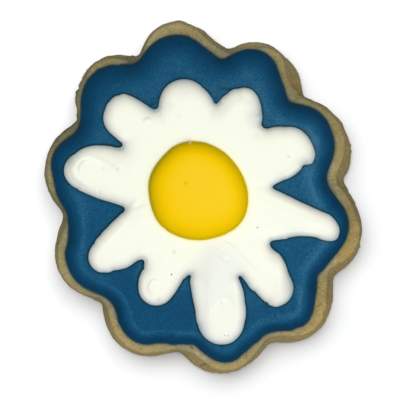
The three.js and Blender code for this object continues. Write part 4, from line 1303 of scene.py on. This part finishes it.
# ------------------------------------------------------------------ looks of the yellow icing
gold = Material("yellow_icing")
depth = gold.read("depth")
# the yellow's colour follows the painted shade in tone, olive where shaded
colour = gold.ramp(gold.read("tone"), [(0.10, srgb(163, 139, 3)), (0.256, srgb(182, 153, 1)), (0.406, srgb(199, 167, 0)),
                                       (0.511, srgb(212, 176, 0)), (0.622, srgb(226, 186, 0)), (0.678, srgb(232, 191, 0)),
                                       (0.733, srgb(240, 196, 3)), (0.767, srgb(243, 199, 12)), (0.80, srgb(244, 202, 26)),
                                       (0.822, srgb(245, 204, 36)), (0.90, srgb(247, 209, 42))])
# painted shade on the rim's north-west side
rim_shade = gold.math("MULTIPLY", gold.read("away"), gold.span(depth, 0.0, 1.1, 1.0, 0.0, True))
colour = gold.blend(gold.math("MULTIPLY", rim_shade, 0.35), colour, (0.30, 0.235, 0.004))
colour = gold.blend(gold.span(gold.noise(4.0, 2.0, 0.5, seed=0.3), 0.35, 0.65, 0.0, 0.6), colour, (1.0, 0.975, 0.9), "MULTIPLY")
colour = gold.blend(gold.read("ring"), colour, (0.79, 0.905, 1.5), "MULTIPLY")
# painted shade in the dimple
colour = gold.blend(gold.math("MULTIPLY", gold.read("dimple"), 0.5), colour, (0.62, 0.40, 0.001))
colour = gold.blend(gold.math("MULTIPLY", gold.read("smear"), 0.8), colour, (0.93, 0.82, 0.42))
gold.shader(Base_Color=colour, Roughness=gold.span(gold.noise(0.9, 2.0, 0.5, seed=0.4), 0.3, 0.7, 0.40, 0.50),
            Normal=gold.bump(gold.noise(0.35, 2.0, 0.55, seed=0.9), 0.08, 0.04))
gold.bsdf.inputs["Specular IOR Level"].default_value = 0.03

# ------------------------------------------------------------------ pieces
pieces = []
for name, maker, material, node, slot in (
        ("cookie_dough", dough, bake, "dough_base", "baked_dough"),
        ("flood_icing", blue, navy, "blue_icing", "blue_icing"),
        ("piped_daisy", white, snow, "white_daisy", "white_icing"),
        ("centre_button", yellow, gold, "yellow_centre", "yellow_icing")):
    mesh, attributes = maker()
    pieces.append(build(name, mesh, material.mat, node, slot, **attributes))

# ------------------------------------------------------------------ floor
floor_material = Material("floor")
floor_material.shader(Base_Color=floor_material.ramp(floor_material.noise(40.0, 2.0, 0.5), [(0.3, (0.838, 0.846, 0.858)), (0.7, (0.848, 0.856, 0.868))]))
floor_material.bsdf.inputs["Roughness"].default_value = 0.9
floor_material.bsdf.inputs["Specular IOR Level"].default_value = 0.0
me = bpy.data.meshes.new("floor")
low = -0.05 * MM  # a hair under the cookie, so that its flat underside doesn't share the floor's plane
me.from_pydata([(-2, -2, low), (2, -2, low), (2, 2, low), (-2, 2, low)], [], [(0, 1, 2, 3)])
me.materials.append(floor_material.mat)
floor = bpy.data.objects.new("floor", me)
bpy.context.scene.collection.objects.link(floor)

# ------------------------------------------------------------------ light
cookie_only = bpy.data.collections.new("cookie_only")
for ob in pieces:
    cookie_only.objects.link(ob)
floor_only = bpy.data.collections.new("floor_only")
floor_only.objects.link(floor)


def softbox(name, azimuth, off_vertical, distance, size, power, receivers, glossy=True):
    """An area light aimed at the cookie; azimuth 0 is +Y, 90 is +X."""
    light = bpy.data.lights.new(name, "AREA")
    light.shape = "DISK"
    light.size = size
    light.energy = power
    ob = bpy.data.objects.new(name, light)
    a, t = math.radians(azimuth), math.radians(off_vertical)
    direction = Vector((math.sin(a) * math.sin(t), math.cos(a) * math.sin(t), math.cos(t)))
    ob.location = direction * distance
    ob.rotation_euler = direction.to_track_quat("Z", "Y").to_euler()
    bpy.context.scene.collection.objects.link(ob)
    ob.light_linking.receiver_collection = receivers
    ob.visible_glossy = glossy
    return ob


GAIN = 0.945
softbox("key", 155, 25, 0.9, 0.40, 3.2 * GAIN, cookie_only, False)
softbox("top", 150, 5, 0.9, 0.60, 3.0 * GAIN, cookie_only, False)
for azimuth, power in ((92, 0.75), (140, 0.65), (215, 0.65), (280, 0.5), (340, 0.4), (35, 0.5)):
    softbox("fill_%d" % azimuth, azimuth, 40, 0.9, 0.5, power * GAIN, cookie_only)
for azimuth, tilt, size, power in ((20, 20, 1.6, 11.7), (315, 45, 0.8, 2.8), (20, 45, 0.8, 2.0), (270, 45, 0.8, 2.2), (200, 60, 0.8, 1.2)):
    softbox("over_floor_%d_%d" % (azimuth, tilt), azimuth, tilt, 1.0, size, power, floor_only)

world = bpy.data.worlds.new("studio")
world.use_nodes = True
nt = world.node_tree
nt.nodes.clear()
seen = nt.nodes.new("ShaderNodeLightPath").outputs["Is Camera Ray"]
ambient = nt.nodes.new("ShaderNodeBackground")
ambient.inputs["Color"].default_value = (1, 1, 1, 1)
ambient.inputs["Strength"].default_value = 0.10
backdrop = nt.nodes.new("ShaderNodeBackground")
backdrop.inputs["Color"].default_value = (0.93, 0.93, 0.935, 1)
backdrop.inputs["Strength"].default_value = 1.0
mix = nt.nodes.new("ShaderNodeMixShader")
nt.links.new(seen, mix.inputs[0])
nt.links.new(ambient.outputs[0], mix.inputs[1])
nt.links.new(backdrop.outputs[0], mix.inputs[2])
nt.links.new(mix.outputs[0], nt.nodes.new("ShaderNodeOutputWorld").inputs[0])
bpy.context.scene.world = world

view = bpy.context.scene.view_settings
view.view_transform = "Standard"
view.look = "None"
view.exposure, view.gamma = 0.0, 1.0
